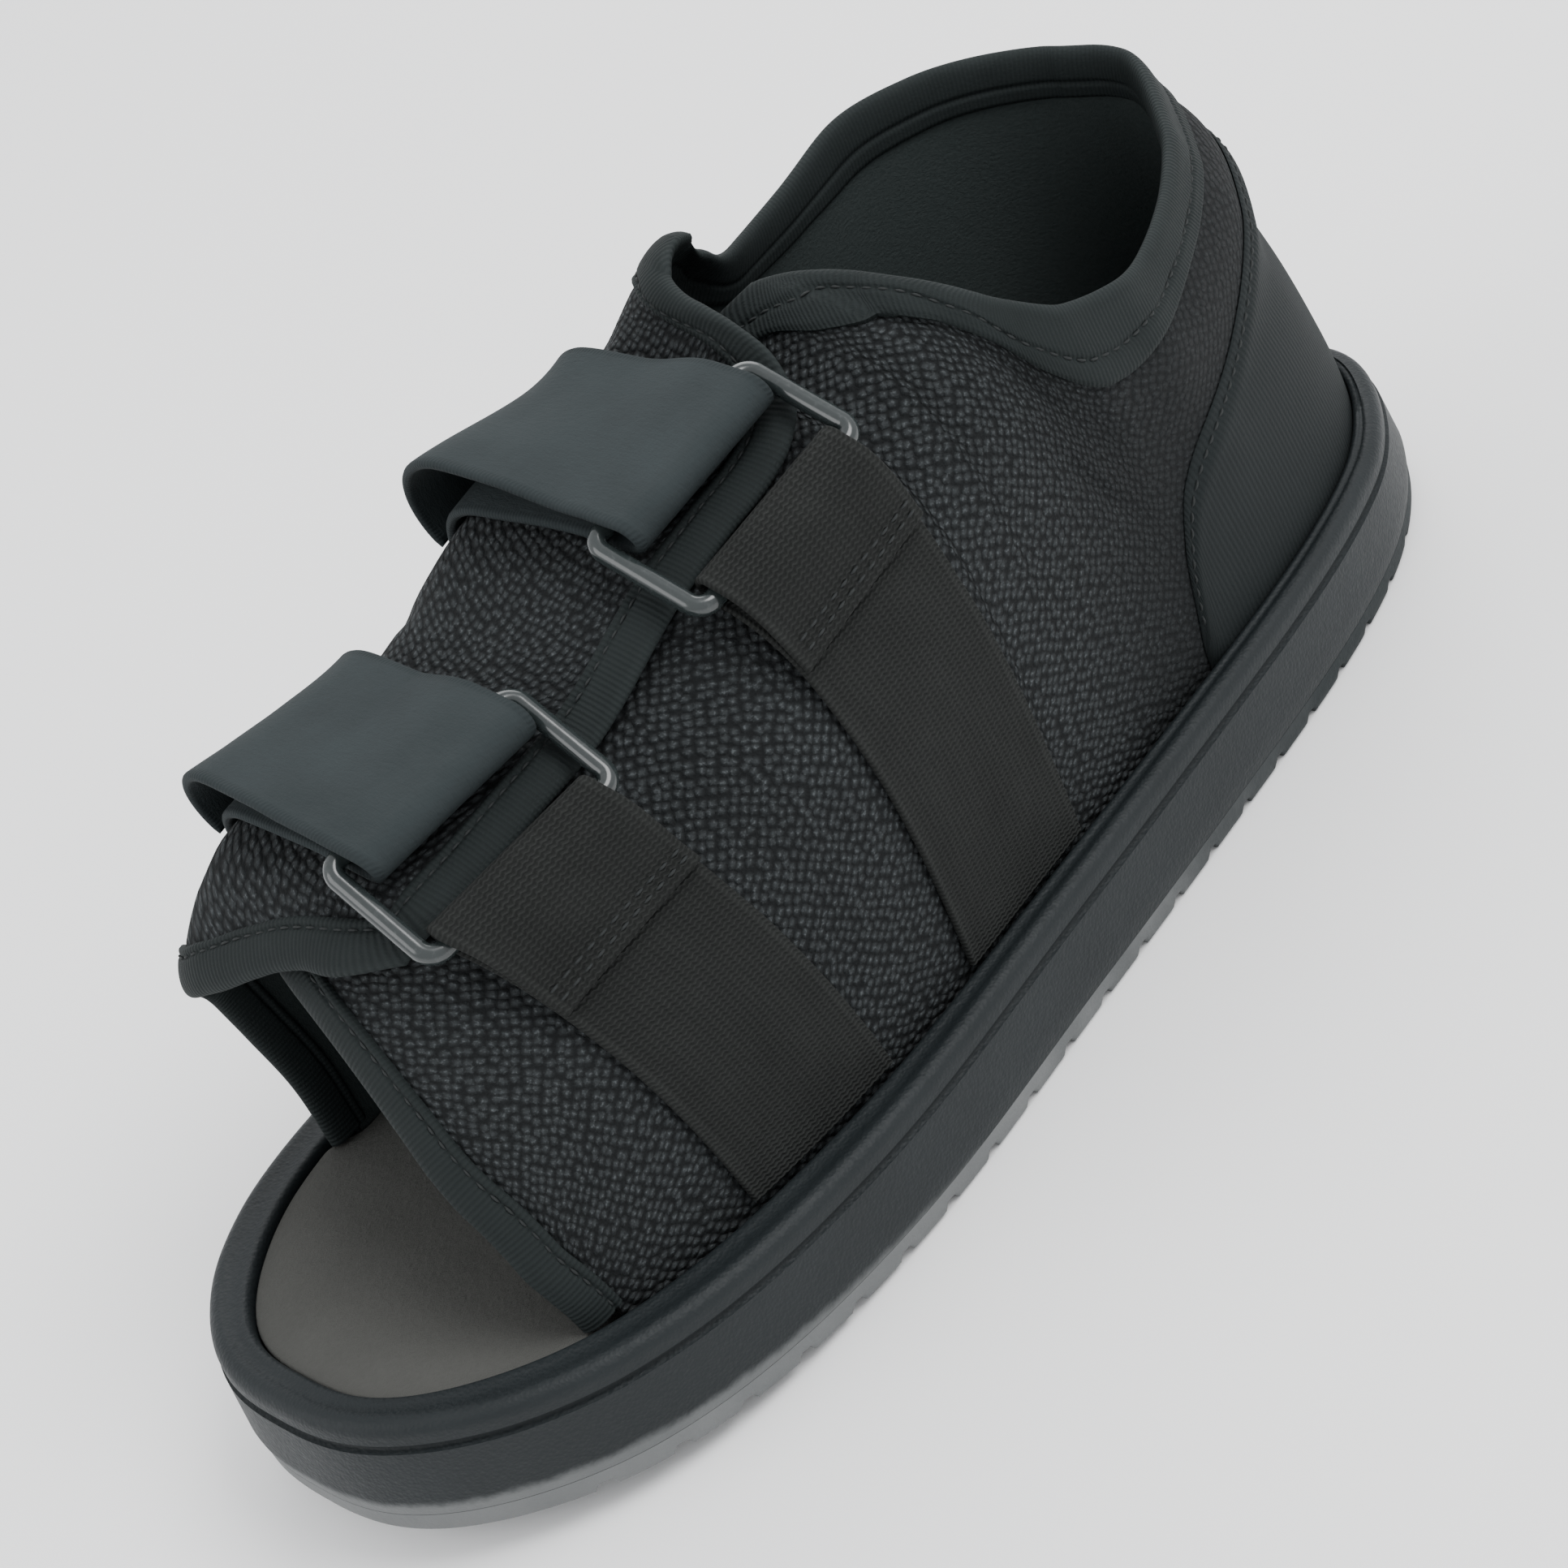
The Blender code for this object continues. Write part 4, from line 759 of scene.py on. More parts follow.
# Rings round the sole joined one to the next; rungs across close the first and the last
def soleLoft(turns, profile):
    count = len(turns)
    points = []
    for inset, height in profile:
        x, y, _, _ = outline(turns, inset)
        points.append(np.stack([x, y, groundRise(x) + height], axis=1))
    points = np.stack(points, axis=1)
    index = np.arange(points.shape[0] * points.shape[1]).reshape(points.shape[:2])
    faces = gridFaces(index, closed=True).tolist()
    for level, turned in ((0, 1), (-1, -1)):
        ring = index[:, level]
        for i in range(count // 2):
            rung = [ring[i], ring[i + 1], ring[(count - i - 1) % count], ring[(count - i) % count]]
            faces.append(list(dict.fromkeys(rung))[::turned])
    flat = points.reshape(-1, 3)
    share = flat[:, 0] / shoe["length"] + 0.5
    level = (flat[:, 2] - groundRise(flat[:, 0])) * 1000
    return flat, faces, {"share": share, "level": level}


treadSizes = {"pitch": 0.012, "groove": 0.0036, "flank": 0.0009, "depth": 0.0016, "chamfer": 0.0016,
              "inset": 0.0004, "waist": 0.55, "ribless": 0.055}


# Outsole: grooves across the tread are trapezoids in the share, cut from its lower edge
def buildOutsole():
    ribless, pitch, groove = treadSizes["ribless"], treadSizes["pitch"], treadSizes["groove"]
    count = int(shoe["length"] * (1 - 2 * ribless) // pitch)
    starts = -0.5 * pitch * count + (np.arange(count) + 0.5) * pitch - 0.5 * groove
    corners = np.array([0.0, treadSizes["flank"], groove - treadSizes["flank"], groove])
    at = (starts[:, None] + corners).ravel() / shoe["length"] + 0.5
    deep = np.tile([0.0, treadSizes["depth"], treadSizes["depth"], 0.0], count)
    shares = np.unique(np.concatenate([0.5 - 0.5 * np.cos(np.linspace(0, np.pi, 220)), at]).round(6))
    depths = np.interp(shares, np.concatenate([[0.0], at, [1.0]]), np.concatenate([[0.0], deep, [0.0]]))
    turns = np.concatenate([turnOf(shares[::-1]), turnOf(shares[1:-1], -1)])
    depth = np.concatenate([depths[::-1], depths[1:-1]])
    chamfer, top = treadSizes["chamfer"], shoe["tread"]
    waist = top * treadSizes["waist"]
    profile = []
    for part in np.linspace(0, 1, 6):
        turned = part * np.pi / 2
        inset = treadSizes["inset"] + (chamfer - treadSizes["inset"]) * (1 - np.sin(turned))
        profile.append((inset, depth + (waist - depth) * (1 - np.cos(turned))))
    profile += [(treadSizes["inset"], top)]
    points, faces, values = soleLoft(turns, profile)
    addPiece("outsoleRubber", points, faces, "rubber", ["outsole"], values=values,
             angle=35)


midsoleSizes = {"undercut": 0.0004, "heelLean": 0.0028, "toeLean": 0.0014, "groove": 0.0196,
                "grooveWidth": 0.0016, "grooveDepth": 0.0012, "grooveLip": 0.0003, "round": 0.0030,
                "hollow": 0.0004, "seam": 0.0001}


# Midsole: side that leans in at the ends, half round groove, quarter round rim and lip
def buildMidsole():
    size = midsoleSizes
    turns = np.arange(720) / 720
    share = shareOf(turns)
    rim = rimWidth(turns)
    low = shoe["tread"] + gap
    crest, lip, rounded = shoe["crest"], shoe["lip"], size["round"]
    upright = low + 0.25 * (size["groove"] - low)
    lean = size["heelLean"] * (1 - ease(0.0, 0.10, share)) + size["toeLean"] * ease(0.93, 1.0, share)
    side = [(size["undercut"] * (1 - part) ** 1.7, shoe["tread"] + size["seam"] + (upright - low) * part)
            for part in np.linspace(0, 1, 6)]
    half = size["grooveWidth"] / 2
    for part in np.linspace(-1, 1, 9):
        side.append((size["grooveDepth"] * (1 - part ** 2) ** 0.5 + max(0, part) * size["grooveLip"],
                     size["groove"] + half * part))
    for angle in np.linspace(0, np.pi / 2, 9):
        side.append((rounded * (1 - np.cos(angle)) + size["grooveLip"] * (1 - np.sin(angle)),
                     crest - rounded * (1 - np.sin(angle))))
    profile = []
    for inset, height in side:
        climbed = max(0.0, (height - upright) / (crest - upright))
        profile.append((inset + lean * climbed, height))
    for part in np.linspace(0.2, 0.8, 3):
        hollow = size["hollow"] * np.sin(np.pi * part)
        inner, outer = rim - lip, rounded + lean
        profile.append((outer + (inner - outer) * part, crest - hollow))
    for angle in np.linspace(0, np.pi / 2, 5):
        profile.append((rim - lip * (1 - np.sin(angle)), crest - lip * (1 - np.cos(angle))))
    profile.append((rim, footbed))
    points, faces, values = soleLoft(turns, profile)
    addPiece("midsoleFoam", points, faces, "foam", ["midsole"], values=values, angle=60)


insoleSizes = {"round": 0.0006, "step": 0.0090}


# The insole's share where it comes level with a place on the wall's base
def insoleCorner(share, side):
    level = share
    for _ in range(4):
        turn = turnOf(level, side)
        inset = rimWidth(turn) + gap + shoe["seatGap"] + wall
        level = share + inset * outline(turn)[2] / shoe["length"]
    return level


# Insole: to the rim in the open toe, inside the wall behind it, with a rounded edge
def buildInsole():
    toe = toePath(toeBindingEnd)
    _, inside, _ = edgePaths(0.0)
    nearEnd = insoleCorner(shareOf(toeInside(toe)[0, 0]), 1)
    farEnd = insoleCorner(shareOf(inside[0, -1]), -1)
    step = insoleSizes["step"] / shoe["length"]
    turns = np.arange(720) / 720
    end = np.where(turns < 0.5, nearEnd, farEnd)
    covered = 1 - ease(end, end + step, shareOf(turns))
    inset = rimWidth(turns) + gap + covered * (shoe["seatGap"] + wall)
    bottom = footbed + gap
    top = bottom + shoe["insole"]
    rounded = insoleSizes["round"]
    profile = [(inset, bottom)]
    for angle in np.linspace(0, np.pi / 2, 6):
        profile.append((inset + rounded * (1 - np.cos(angle)), top - rounded * (1 - np.sin(angle))))
    points, faces, _ = soleLoft(turns, profile)
    addPiece("insoleFelt", points, faces, "felt", ["insole"], angle=70)


# Creases: side, share, climb, angle from the length, length mm, width mm, depth mm
creaseRows = (
    (1, 0.385, 0.70, 62, 22, 2.2, 0.9),
    (1, 0.410, 0.52, 74, 24, 2.6, 0.8),
    (1, 0.345, 0.60, 40, 26, 2.4, 0.8),
    (1, 0.330, 0.36, 24, 24, 3.0, 0.7),
    (1, 0.620, 0.62, 84, 20, 2.0, 0.8),
    (1, 0.605, 0.30, 66, 18, 2.6, 0.7),
    (1, 0.640, 0.16, 100, 16, 2.4, 0.6),
    (1, 0.815, 0.55, 70, 18, 2.2, 0.8),
    (1, 0.835, 0.28, 100, 16, 2.6, 0.7),
    (1, 0.795, 0.12, 84, 12, 2.2, 0.6),
    (-1, 0.395, 0.42, 66, 22, 2.6, 0.8),
    (-1, 0.345, 0.28, 30, 26, 3.0, 0.8),
    (-1, 0.632, 0.66, 96, 24, 2.4, 0.8),
    (-1, 0.618, 0.30, 80, 20, 2.6, 0.7),
    (-1, 0.806, 0.62, 88, 18, 2.2, 0.7),
    (-1, 0.800, 0.26, 74, 18, 2.6, 0.7),
    (-1, 0.440, 0.72, 100, 16, 2.2, 0.7),
)


creaseSizes = {"climb": 100, "bow": 0.012}


# Each crease is a Gaussian valley across its bowed line, fading with a squared cosine along it
def creases(turn, climb):
    share = shareOf(turn)
    side = np.where(np.mod(turn, 1.0) < 0.5, 1, -1)
    dip = np.zeros_like(share)
    for which, atShare, atClimb, angle, length, width, depth in creaseRows:
        x = (share - atShare) * shoe["length"] * 1000
        z = (climb - atClimb) * creaseSizes["climb"]
        turned = math.radians(angle)
        along = x * math.cos(turned) + z * math.sin(turned)
        across = -x * math.sin(turned) + z * math.cos(turned)
        across = across + creaseSizes["bow"] * along ** 2
        fade = np.cos(np.clip(along / length, -0.5, 0.5) * np.pi) ** 2
        dip += np.where(side == which, depth * np.exp(-(across / width) ** 2) * fade, 0.0)
    return dip / 1000


upperSizes = {"rows": 78, "finer": 5, "tuck": 0.0005, "tuckReach": 0.0021875, "under": 0.0008}


# Turns and climbs of the sheet's columns: the near quarter's run on to the collar's and the flap's
def upperColumns(rise):
    edge = toeInside(toePath(toeEdgeRows[-1][0]), upperSizes["under"])
    reachShare, reach = table(nearReachRows)
    rear = shoe["collarEnd"] + 0.03
    columns = []
    for part in np.linspace(1, 0, 14):
        share = rear + (toeEdgeRows[-1][1] - rear) * part
        climb = rise * smooth(reachShare, reach, share)
        front = np.interp(climb, edge[1], shareOf(edge[0]))
        columns.append((turnOf(rear + (front - rear) * part), climb))
    _, edge, count = edgePaths(-upperSizes["under"])
    for turn, climb in edge[:, :count].T:
        columns.append((np.full(len(rise), turn), rise * climb))
    corner = count - 1 + flapCorner
    frontClimb = edge[1, :corner - 1:-1]
    frontShare = shareOf(edge[0, :corner - 1:-1])
    rearBase = shareOf(edge[0, count - 1])
    for k in range(count, corner + 1):
        part = (k - count + 1) / (corner - count + 1)
        base = rearBase + (frontShare[0] - rearBase) * part
        climb = rise * edge[1, k]
        share = base + (shareOf(edge[0, k]) - base) * rise
        bow = np.interp(climb, frontClimb, frontShare)
        straight = frontShare[0] + (frontShare[-1] - frontShare[0]) * climb / frontClimb[-1]
        columns.append((turnOf(share + part ** 3 * (bow - straight), -1), climb))
    turns, climbs = (np.array(part) for part in zip(*columns))
    return turns, climbs, len(columns) - 1 - flapCorner


# Upper: the skin lifted to its outer face, tucked down along its taped edges and creased
def buildUpper():
    size = upperSizes
    turns, climbs, notch = upperColumns(np.linspace(0, 1, size["rows"]))
    knots = knotsOf((turns[:, -1], climbs[:, -1]))
    turns = finer(turns, knots, size["finer"], [notch])
    climbs = finer(climbs, knots, size["finer"], [notch])
    points, normals = skin(turns, climbs), skinNormal(turns, climbs)
    swell = lift(turns, climbs)
    cloth = clothGrid(points, np.argmin(np.abs(turns[:, 0] - 0.5)))
    tuck = size["tuck"] * np.exp(-cloth[2] / size["tuckReach"])
    high = swell - tuck - creases(turns, climbs)
    low = swell - pad(turns, climbs) - wall
    coarse = 0.25 + 0.75 * ease(0.30, 0.43, shareOf(turns) + 0.10 * climbs)
    addSheet("upperMesh", "upper", "mesh", points + normals * high[..., None],
             points + normals * low[..., None], cloth, "lining", {"coarse": coarse})


# The tape's section: full height over its inner part, rounded to nothing at the shoe's edge, thinner
# at its lip on the mesh, with a groove where the seam is stitched
def tapeSection(part, seam):
    outer = np.clip((part - 0.30) / 0.70, 0, 1)
    crown = np.sqrt(np.clip(1 - outer ** 2.4, 0.004, 1))
    lipFall = 1 - 0.16 * (1 - ease(0.0, 0.07, part))
    stitched = 1 - 0.20 * np.exp(-((part - seam) / 0.05) ** 2)
    return crown * lipFall * stitched


# Outer and inner face of a binding at parts of its width, from the sheet's edge to the shoe's edge
def bindingFaces(edge, inside, part, seam):
    turn = inside[0][:, None] + (edge[0] - inside[0])[:, None] * part
    climb = inside[1][:, None] + (edge[1] - inside[1])[:, None] * part
    point, normal = skin(turn, climb), skinNormal(turn, climb)
    high = lift(turn, climb) + tape
    low = lift(turn, climb) - pad(turn, climb) - wall - tape
    middle, half = 0.5 * (high + low), 0.5 * (high - low) * tapeSection(part, seam)
    return point + normal * (middle + half)[..., None], point + normal * (middle - half)[..., None], normal


bindingParts = np.concatenate([np.linspace(0, 0.46, 19), np.linspace(0.50, 0.90, 8),
                               1 - 0.08 * (1 - np.linspace(0, 1, 6)) ** 2])
threadRows = []


puckerSizes = {"depth": 0.00010, "wave": 0.0025, "reach": 0.12}


# A folded tape; its outer face puckers along the seam as a sine
def buildBinding(name, edge, inside, knots, times, seamAt, puckerSeed, corners=()):
    edge, inside = (finer(path.T, knots, times, corners).T for path in (edge, inside))
    outer, inner, normal = bindingFaces(edge, inside, bindingParts, seamAt)
    along = runLength(outer[:, 0], 0)[:, None] + 0 * bindingParts
    across = runLength(outer, 1)
    stitched = np.exp(-((bindingParts - seamAt) / puckerSizes["reach"]) ** 2)
    pucker = puckerSizes["depth"] * np.sin(along / puckerSizes["wave"] + puckerSeed) * stitched
    outer = outer + normal * pucker[..., None]
    piece = addSheet(name + "Tape", name + "_binding", "tape", outer, inner,
                     (across, along, across[:, -1:] - across))
    seam, _, seamNormal = bindingFaces(edge, inside, np.array([seamAt]), seamAt)
    threadRows.append((seam[:, 0], seamNormal[:, 0]))
    return piece


# The three tapes; the flap's starts two gaps past the end of the collar's
def buildBindings():
    edge, inside, count = edgePaths(0.0)
    knots = knotsOf(inside)
    collar = buildBinding("collar", edge[:, :count], inside[:, :count], knots[:count], 8, 0.34, 0.3)
    edge, inside = edge[:, count - 1:].copy(), inside[:, count - 1:].copy()
    edge[:, flapCorner] += (inside - edge)[:, flapCorner] * bindingWidth["cornerCut"]
    for path in (edge, inside):
        firstLeg = np.linalg.norm(np.diff(skin(*path[:, :2]), axis=0))
        path[:, 0] += (path[:, 1] - path[:, 0]) * 2 * gap / firstLeg
    buildBinding("flap", edge, inside, knots[count - 1:], 8, 0.20, 1.7, [flapCorner])
    toe = toePath(toeBindingEnd)
    buildBinding("toe", toe, toeInside(toe), knotsOf(toeInside(toe)), 14, 0.20, 0.9)


counterRows = ((0.000, 0.72), (0.060, 0.69), (0.150, 0.60), (0.220, 0.51), (0.260, 0.41),
               (0.285, 0.26), (0.300, 0.06))
counterSizes = {"thick": 0.0010, "off": 0.0002, "stand": 0.0005, "standReach": 0.005,
                "round": 0.0016, "thinReach": 0.006, "seam": 0.0024, "seamWidth": 0.0008,
                "sink": 0.00022, "leastSewn": 0.012, "columns": 260, "rows": 70}


# Under and upper side of the cover above the skin: off the mesh in its middle, down to it and
# thinned where it is sewn, the way in from its edge being the rim
def coverSides(turn, climb, rim):
    size = counterSizes
    stand = (gap + size["stand"] * ease(0.20, 0.45, climb)) * ease(0, size["standReach"], rim)
    under = lift(turn, climb) + size["off"] + stand
    full = np.sqrt(1 - (1 - np.clip(rim / size["round"], 0.02, 1)) ** 2)
    full = full * (0.55 + 0.45 * ease(0, size["thinReach"], rim))
    sewn = size["sink"] * np.exp(-((rim - size["seam"]) / size["seamWidth"]) ** 2)
    return under, under + size["thick"] * full - sewn


# Heel counter: a cover laid on the collar's and heel's outer face, thinned to a sewn edge
def buildCounter():
    size = counterSizes
    shares, edge = table(counterRows)
    turns = np.linspace(turnOf(shares[-1]), turnOf(shares[-1], -1), size["columns"])
    top = smooth(shares, edge, shareOf(turns))
    climb = top[:, None] * np.linspace(0, 1, size["rows"]) ** 0.9
    turn = turns[:, None] + 0 * climb
    point, normal = skin(turn, climb), skinNormal(turn, climb)
    cloth = clothGrid(point, size["columns"] // 2)
    under, high = coverSides(turn, climb, cloth[2])
    addSheet("counterCover", "heel_counter", "counter", point + normal * high[..., None],
             point + normal * under[..., None], cloth)
    tall = cloth[1][:, -1]
    seam = top - size["seam"] / np.maximum(tall, 0.001) * top
    _, at = coverSides(turns, seam, np.full(len(turns), size["seam"]))
    sewn = tall > size["leastSewn"]
    seamNormal = skinNormal(turns, seam)
    threadRows.append(((skin(turns, seam) + seamNormal * at[:, None])[sewn], seamNormal[sewn]))


# Closures: name, strap base, strap top, webbing base, webbing top, near bar, far bar, stand
closureRows = (
    ("rear", 0.519, 0.519, 0.511, 0.521, 0.665, 0.865, 0.0090),
    ("front", 0.718, 0.738, 0.703, 0.745, 0.690, 0.890, 0.0070),
)
strapSizes = {"width": 0.0345, "thick": 0.0018, "end": 0.52, "layerGap": 0.0006, "start": 0.0008,
              "slack": 0.0045, "soft": 0.0009, "ripple": 0.0004}
webbingSizes = {"width": 0.0335, "thick": 0.0014, "tail": 0.021, "slack": 0.0008,
                "soft": 0.0006, "seams": (0.0022, 0.0042), "selvedge": 4}
ringSizes = {"wire": 0.0034, "play": 0.0008, "corner": 0.0010, "sides": 28}
bandSizes = {"rise": 0.30, "part": 0.16, "turn": 0.02, "columns": 41, "rows": (90, 19, 84)}


# The place on the skin straight under each point, by eight steps on its tangents
def foot(side, share, climb, point):
    for _ in range(8):
        turn = turnOf(share, side)
        normal = skinNormal(turn, climb)
        off = point - skin(turn, climb)
        off = off - normal * (off * normal).sum(axis=-1, keepdims=True)
        byShare = (skin(turnOf(share + 0.002, side), climb) - skin(turn, climb)) / 0.002
        shareStep, climbStep = twoSteps(byShare, climbTangent(turn, climb), off)
        share, climb = share + shareStep, climb + climbStep
    return share, climb


# From a ring's middle to the middle of its wire at the side of the strap
def ringHalf():
    return 0.5 * (strapSizes["width"] + ringSizes["wire"]) + ringSizes["play"]


# Middles of a ring's two bars and the way along them: on the webbing, on the strap, over the flap
def ringFrame(closure):
    _, _, strapShare, _, webbingShare, nearBar, farBar, _ = closure
    wire = 0.5 * ringSizes["wire"]
    sideBar = ringHalf()
    ends = np.array([-0.5, 0.5]) * strapSizes["width"] / shoe["length"]
    nearTurn = turnOf(webbingShare + ends)
    nearEnds = skin(nearTurn, nearBar) + skinNormal(nearTurn, nearBar) * (
        2 * gap + webbingSizes["thick"] + wire)
    farTurn = turnOf(strapShare + ends, -1)
    farHeight = lift(farTurn, 2 - farBar) + tape + 2 * gap + strapSizes["thick"] + wire
    farEnds = skin(farTurn, 2 - farBar) + skinNormal(farTurn, 2 - farBar) * farHeight[:, None]
    along = unit(unit(nearEnds[1] - nearEnds[0]) + unit(farEnds[1] - farEnds[0]))
    near, far = nearEnds.mean(axis=0), farEnds.mean(axis=0)
    climb = np.linspace(2 - farBar, flapRows[flapCorner][1], 8)
    middle = np.linspace(strapShare, webbingShare, 8)
    tops = []
    for end in (-1, 1):
        turn = turnOf(middle + end * sideBar / shoe["length"], -1)
        height = lift(turn, climb) + tape + gap + wire
        tops.append(skin(turn, climb) + skinNormal(turn, climb) * height[:, None])
    tops = np.concatenate(tops)
    for _ in range(10):
        up = unit(np.cross(along, near - far))
        up = up * np.sign(up[2])
        short = max(0.0, ((tops - far) @ up).max())
        near, far = near + up * short, far + 0.5 * up * short
    across = unit(near - far)
    return near, far, unit(along - across * (along @ across))


# Ring: a circle of wire carried round a rectangle with rounded corners
def buildRing(closure):
    near, far, along = ringFrame(closure)
    wire = 0.5 * ringSizes["wire"]
    half = ringHalf()
    corner = ringSizes["corner"] + wire
    across = unit(near - far)
    middle, deep = 0.5 * (near + far), 0.5 * np.linalg.norm(near - far)
    angle = np.radians(np.linspace(0, 90, 13))
    path = []
    for sideAlong, sideAcross, start in ((1, 1, 0), (-1, 1, 90), (-1, -1, 180), (1, -1, 270)):
        center = middle + along * sideAlong * (half - corner) + across * sideAcross * (deep - corner)
        turned = angle + math.radians(start)
        path.append(center + corner * (np.cos(turned)[:, None] * along + np.sin(turned)[:, None] * across))
    path = np.concatenate(path)
    ahead = unit(np.roll(path, -1, axis=0) - np.roll(path, 1, axis=0))
    flat = unit(np.cross(along, across))
    beside = np.cross(ahead, flat)
    around = np.linspace(0, 2 * np.pi, ringSizes["sides"], endpoint=False)
    points = path[:, None] + wire * (np.cos(around)[:, None] * beside[:, None]
                                     + np.sin(around)[:, None] * flat)
    index = np.arange(len(path) * len(around)).reshape(len(path), -1)
    index = np.concatenate([index, index[:, :1]], axis=1)
    addPiece("wireRing" + closure[0].title(), points.reshape(-1, 3), gridFaces(index, closed=True),
             "ring", ["ring_" + closure[0]], angle=80)


# A band that climbs the skin, turns in a half circle round a bar and lies back on itself; rows run
# along it and columns across, crowded towards its edges
def foldedBand(side, startShare, end, middleOfBar, along, height, size, stand, ripple):
    rows = bandSizes["rows"]
    layerGap = size["thick"] + strapSizes["layerGap"]
    radius = 0.5 * ringSizes["wire"] + gap + 0.5 * size["thick"]
    start = climbAtHeight(turnOf(startShare, side), shoe["crest"] + strapSizes["start"])
    bar = middleOfBar + along * (acrossSteps * size["width"])[:, None]
    foldShare, fold = foot(side, startShare, np.full(len(start), end + 0.2), bar)
    turn = turnOf(foldShare, side)
    out = skinNormal(turn, fold)
    onward = unit(skin(turn, fold + 0.005) - skin(turn, fold - 0.005))
    barHeight = ((bar - skin(turn, fold)) * out).sum(axis=1)
    last = fold - bandSizes["turn"]

    def layer(climb, extra):
        part = (climb - start[:, None]) / (fold - start)[:, None]
        at = turnOf(startShare[:, None] + (foldShare - startShare)[:, None] * part, side)
        plain = height(at, climb)
        raised = ease(fold[:, None] - bandSizes["rise"], last[:, None], climb)
        level = plain + ((barHeight - radius)[:, None] - plain) * raised
        return skin(at, climb) + skinNormal(at, climb) * (level + extra)[..., None]

    lower = start[:, None] + (last - start)[:, None] * np.linspace(0, 1, rows[0])
    steps = np.linspace(0, 1, rows[2])
    upper = last[:, None] + (end - last)[:, None] * steps
    nearFold = ease(fold[:, None] - bandSizes["part"], last[:, None], upper)
    extra = layerGap + (2 * radius - layerGap) * nearFold
    bump = np.sin(np.pi * steps) ** 0.6
    extra = extra + (stand[:, None] * bump + ripple(steps)) * (1 - nearFold)
    angle = np.linspace(0, np.pi, rows[1])[None, :, None]
    turned = radius * (onward[:, None] * np.sin(angle) - out[:, None] * np.cos(angle))
    folded = (bar + size["slack"] * onward)[:, None] + turned
    middle = np.concatenate([layer(lower, 0.0), folded, layer(upper, extra)], axis=1)
    normal = unit(np.cross(np.gradient(middle, axis=0), np.gradient(middle, axis=1)))
    return middle, normal


# Gives a band its thickness, rounded off along its edges and at its free end
def addBand(kind, closure, middle, normal, size):
    across, along = runLength(middle, 0), runLength(middle, 1)
    edge = np.minimum(across, across[-1:] - across)
    free = np.minimum(edge, along[:, -1:] - along + 0.0001)
    full = np.sqrt(1 - (1 - np.clip(free / size["soft"], 0.03, 1)) ** 2)
    half = normal * (0.5 * size["thick"] * full)[..., None]
    addSheet(kind + closure.title(), kind + "_" + closure, kind, middle + half, middle - half,
             (across, along, edge))


# Columns of a band as shares of its width, crowded towards its edges as a sine
acrossSteps = 0.5 * np.sin(np.linspace(-0.5, 0.5, bandSizes["columns"]) * np.pi)


# Strap: from the far side of the sole over the flap, through the ring and back on itself
def buildStrap(closure):
    _, baseShare, _, _, _, _, _, stand = closure
    size, across = strapSizes, acrossSteps
    _, far, along = ringFrame(closure)
    shares = baseShare + across * size["width"] / shoe["length"]

    def height(turn, climb):
        return lift(turn, climb) + tape * ease(0.5, 0.8, climb) + gap + 0.5 * size["thick"]

    middle, normal = foldedBand(
        -1, shares, size["end"], far, along, height, size, stand * (across + 0.5) ** 1.5,
        lambda steps: size["ripple"] * np.sin(np.pi * steps) * (
            1 + np.sin(9 * steps + 5 * across[:, None])))
    addBand("strap", closure[0], middle, normal, size)


# Webbing: as the strap on the other side, with its tail sewn down by rows across it
def buildWebbing(closure):
    _, _, _, baseShare, _, nearBar, _, _ = closure
    size, across = webbingSizes, acrossSteps
    near, _, along = ringFrame(closure)
    shares = baseShare + across * size["width"] / shoe["length"]
    ribLength = np.linalg.norm(np.diff(skin(turnOf(baseShare), np.linspace(0, 1, 60)), axis=0),
                               axis=1).sum()

    def height(turn, climb):
        return 0 * climb + gap + 0.5 * size["thick"]

    middle, normal = foldedBand(1, shares, nearBar - size["tail"] / ribLength, near, along, height, size,
                                np.zeros(len(across)), np.zeros_like)
    addBand("webbing", closure[0], middle, normal, size)
    face = np.median(np.sign((normal[:, -20] * skinNormal(turnOf(shares), 0.5)).sum(-1)))
    top = middle + normal * face * 0.5 * size["thick"]
    run = runLength(middle, 1)[len(across) // 2]
    sewn = slice(size["selvedge"], -size["selvedge"])
    for fromEnd in size["seams"]:
        row = np.argmin(np.abs(run[-1] - run - fromEnd))
        threadRows.append((top[sewn, row], face * normal[sewn, row]))


threadSizes = {"length": 0.0019, "between": 0.0009, "radius": 0.00026, "rings": 5, "sides": 6,
               "taper": 0.92, "stand": 0.55, "dip": 0.7, "reach": 0.0003}


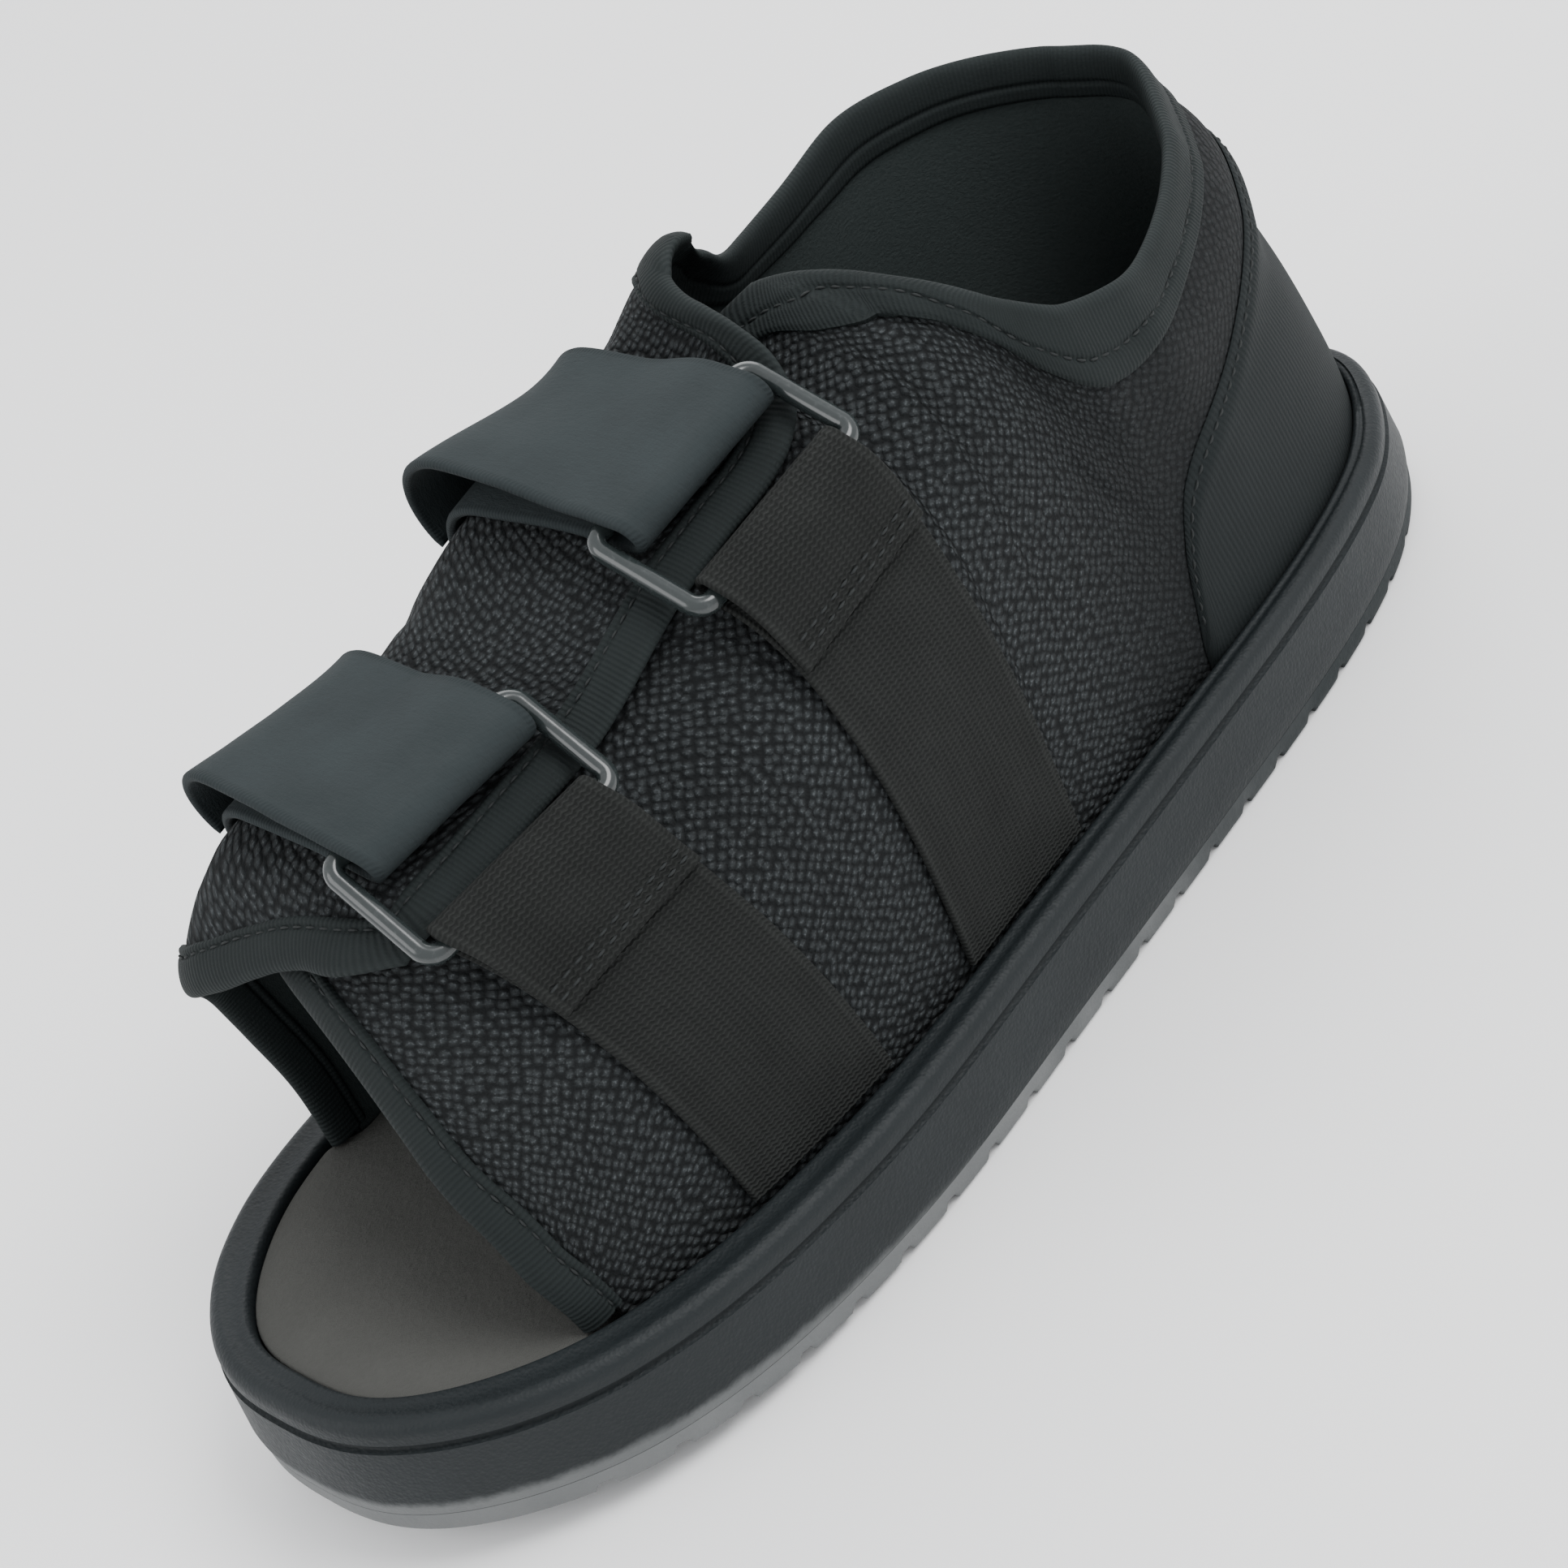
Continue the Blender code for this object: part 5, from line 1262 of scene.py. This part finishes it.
# Stitches: at even steps along each seam a spindle, its radius the root of 1 - (taper t)^2
def buildStitching():
    size = threadSizes
    points, count = [], 0
    step = size["length"] + size["between"]
    for path, normals in threadRows:
        run = runLength(path, 0)
        at = np.arange(0.5 * step, run[-1] - 0.3 * step, step)

        def on(places, values):
            return np.stack([np.interp(places, run, values[:, k]) for k in range(3)], axis=-1)

        ahead = unit(on(at + size["reach"], path) - on(at - size["reach"], path))
        up = unit(on(at, normals))
        side = unit(np.cross(ahead, up))
        t = np.linspace(-1, 1, size["rings"])[None, :, None, None]
        around = np.linspace(0, 2 * np.pi, size["sides"], endpoint=False)[None, None, :, None]
        radius = size["radius"] * np.sqrt(1 - (size["taper"] * t) ** 2)
        center = on(at, path)[:, None, None] + ahead[:, None, None] * t * size["length"] / 2
        lifted = size["radius"] * (size["stand"] - size["dip"] * t ** 2)
        center = center + up[:, None, None] * lifted
        ring = center + radius * (side[:, None, None] * np.cos(around)
                                  + up[:, None, None] * np.sin(around))
        points.append(ring.reshape(-1, 3))
        count += len(at)
    sides, rings = size["sides"], size["rings"]
    one = np.arange(rings * sides).reshape(rings, sides)
    quads = gridFaces(np.concatenate([one, one[:, :1]], axis=1))
    offsets = np.arange(count) * rings * sides
    faces = (offsets[:, None, None] + quads).reshape(-1, 4).tolist()
    faces += (offsets[:, None] + one[0, ::-1]).tolist() + (offsets[:, None] + one[-1]).tolist()
    addPiece("stitching", np.concatenate(points), faces, "thread", angle=80)


buildOutsole()
buildMidsole()
buildInsole()
buildUpper()
buildBindings()
buildCounter()
for closure in closureRows:
    buildRing(closure)
    buildStrap(closure)
    buildWebbing(closure)
buildStitching()

# Stage: a pale floor under pale air, and lights as place, size and power: one large soft light above
# the rings' side and two weaker ones from the toe and from behind
stage = {"floor": ((0.93, 0.93, 0.93), (0.9021, 0.9021, 0.9021)), "half": 4, "under": 0.00005,
         "air": (0.97, 0.98, 1.0), "airStrength": 1.25, "aim": (0, 0, 0.05),
         "lights": ((-0.35, 0.55, 1.15, 0.8, 15.0), (0.95, -0.35, 0.70, 0.8, 5.0),
                    (-0.70, -0.60, 0.75, 0.8, 5.0))}


# Floor, air and lights, each light turned to the middle of the shoe
def buildStage():
    mesh = bpy.data.meshes.new("paleFloor")
    half, down = stage["half"], -stage["under"]
    corners = ((-half, -half, down), (half, -half, down), (half, half, down), (-half, half, down))
    mesh.from_pydata(corners, [], [(0, 1, 2, 3)])
    made = Finish("paleFloor", stage["floor"], 0.9)
    made.shade(made.noise(made.place(), 3.0, 3.0))
    mesh.materials.append(made.material)
    addObject(mesh)
    world = bpy.data.worlds.new("paleAir")
    world.use_nodes = True
    air = world.node_tree.nodes["Background"].inputs
    air["Color"].default_value = (*stage["air"], 1.0)
    air["Strength"].default_value = stage["airStrength"]
    bpy.context.scene.world = world
    for number, (x, y, z, size, power) in enumerate(stage["lights"]):
        data = bpy.data.lights.new("softLight%d" % number, "AREA")
        data.shape, data.size, data.energy = "DISK", size, power
        light = addObject(data)
        light.location = (x, y, z)
        ahead = Vector(stage["aim"]) - light.location
        light.rotation_euler = ahead.to_track_quat("-Z", "Y").to_euler()


# The photograph's camera: its place, its right, up and back, and its lens on a 36 mm square frame
photoCamera = {"place": (0.2712, 0.3942, 0.3906), "right": (-0.6207, 0.7078, -0.3373),
               "up": (-0.6451, -0.2165, 0.7328), "back": (0.4456, 0.6724, 0.5910), "lens": 80.03}


# The camera's turn is the three directions as the columns of a matrix
def buildCamera():
    data = bpy.data.cameras.new("photoCamera")
    data.lens, data.sensor_width = photoCamera["lens"], 36.0
    data.clip_start, data.clip_end = 0.01, 50.0
    camera = addObject(data)
    turned = Matrix((photoCamera["right"], photoCamera["up"], photoCamera["back"])).transposed()
    camera.rotation_euler = turned.to_euler()
    camera.location = photoCamera["place"]
    bpy.context.scene.camera = camera


buildStage()
buildCamera()
bpy.context.view_layer.update()
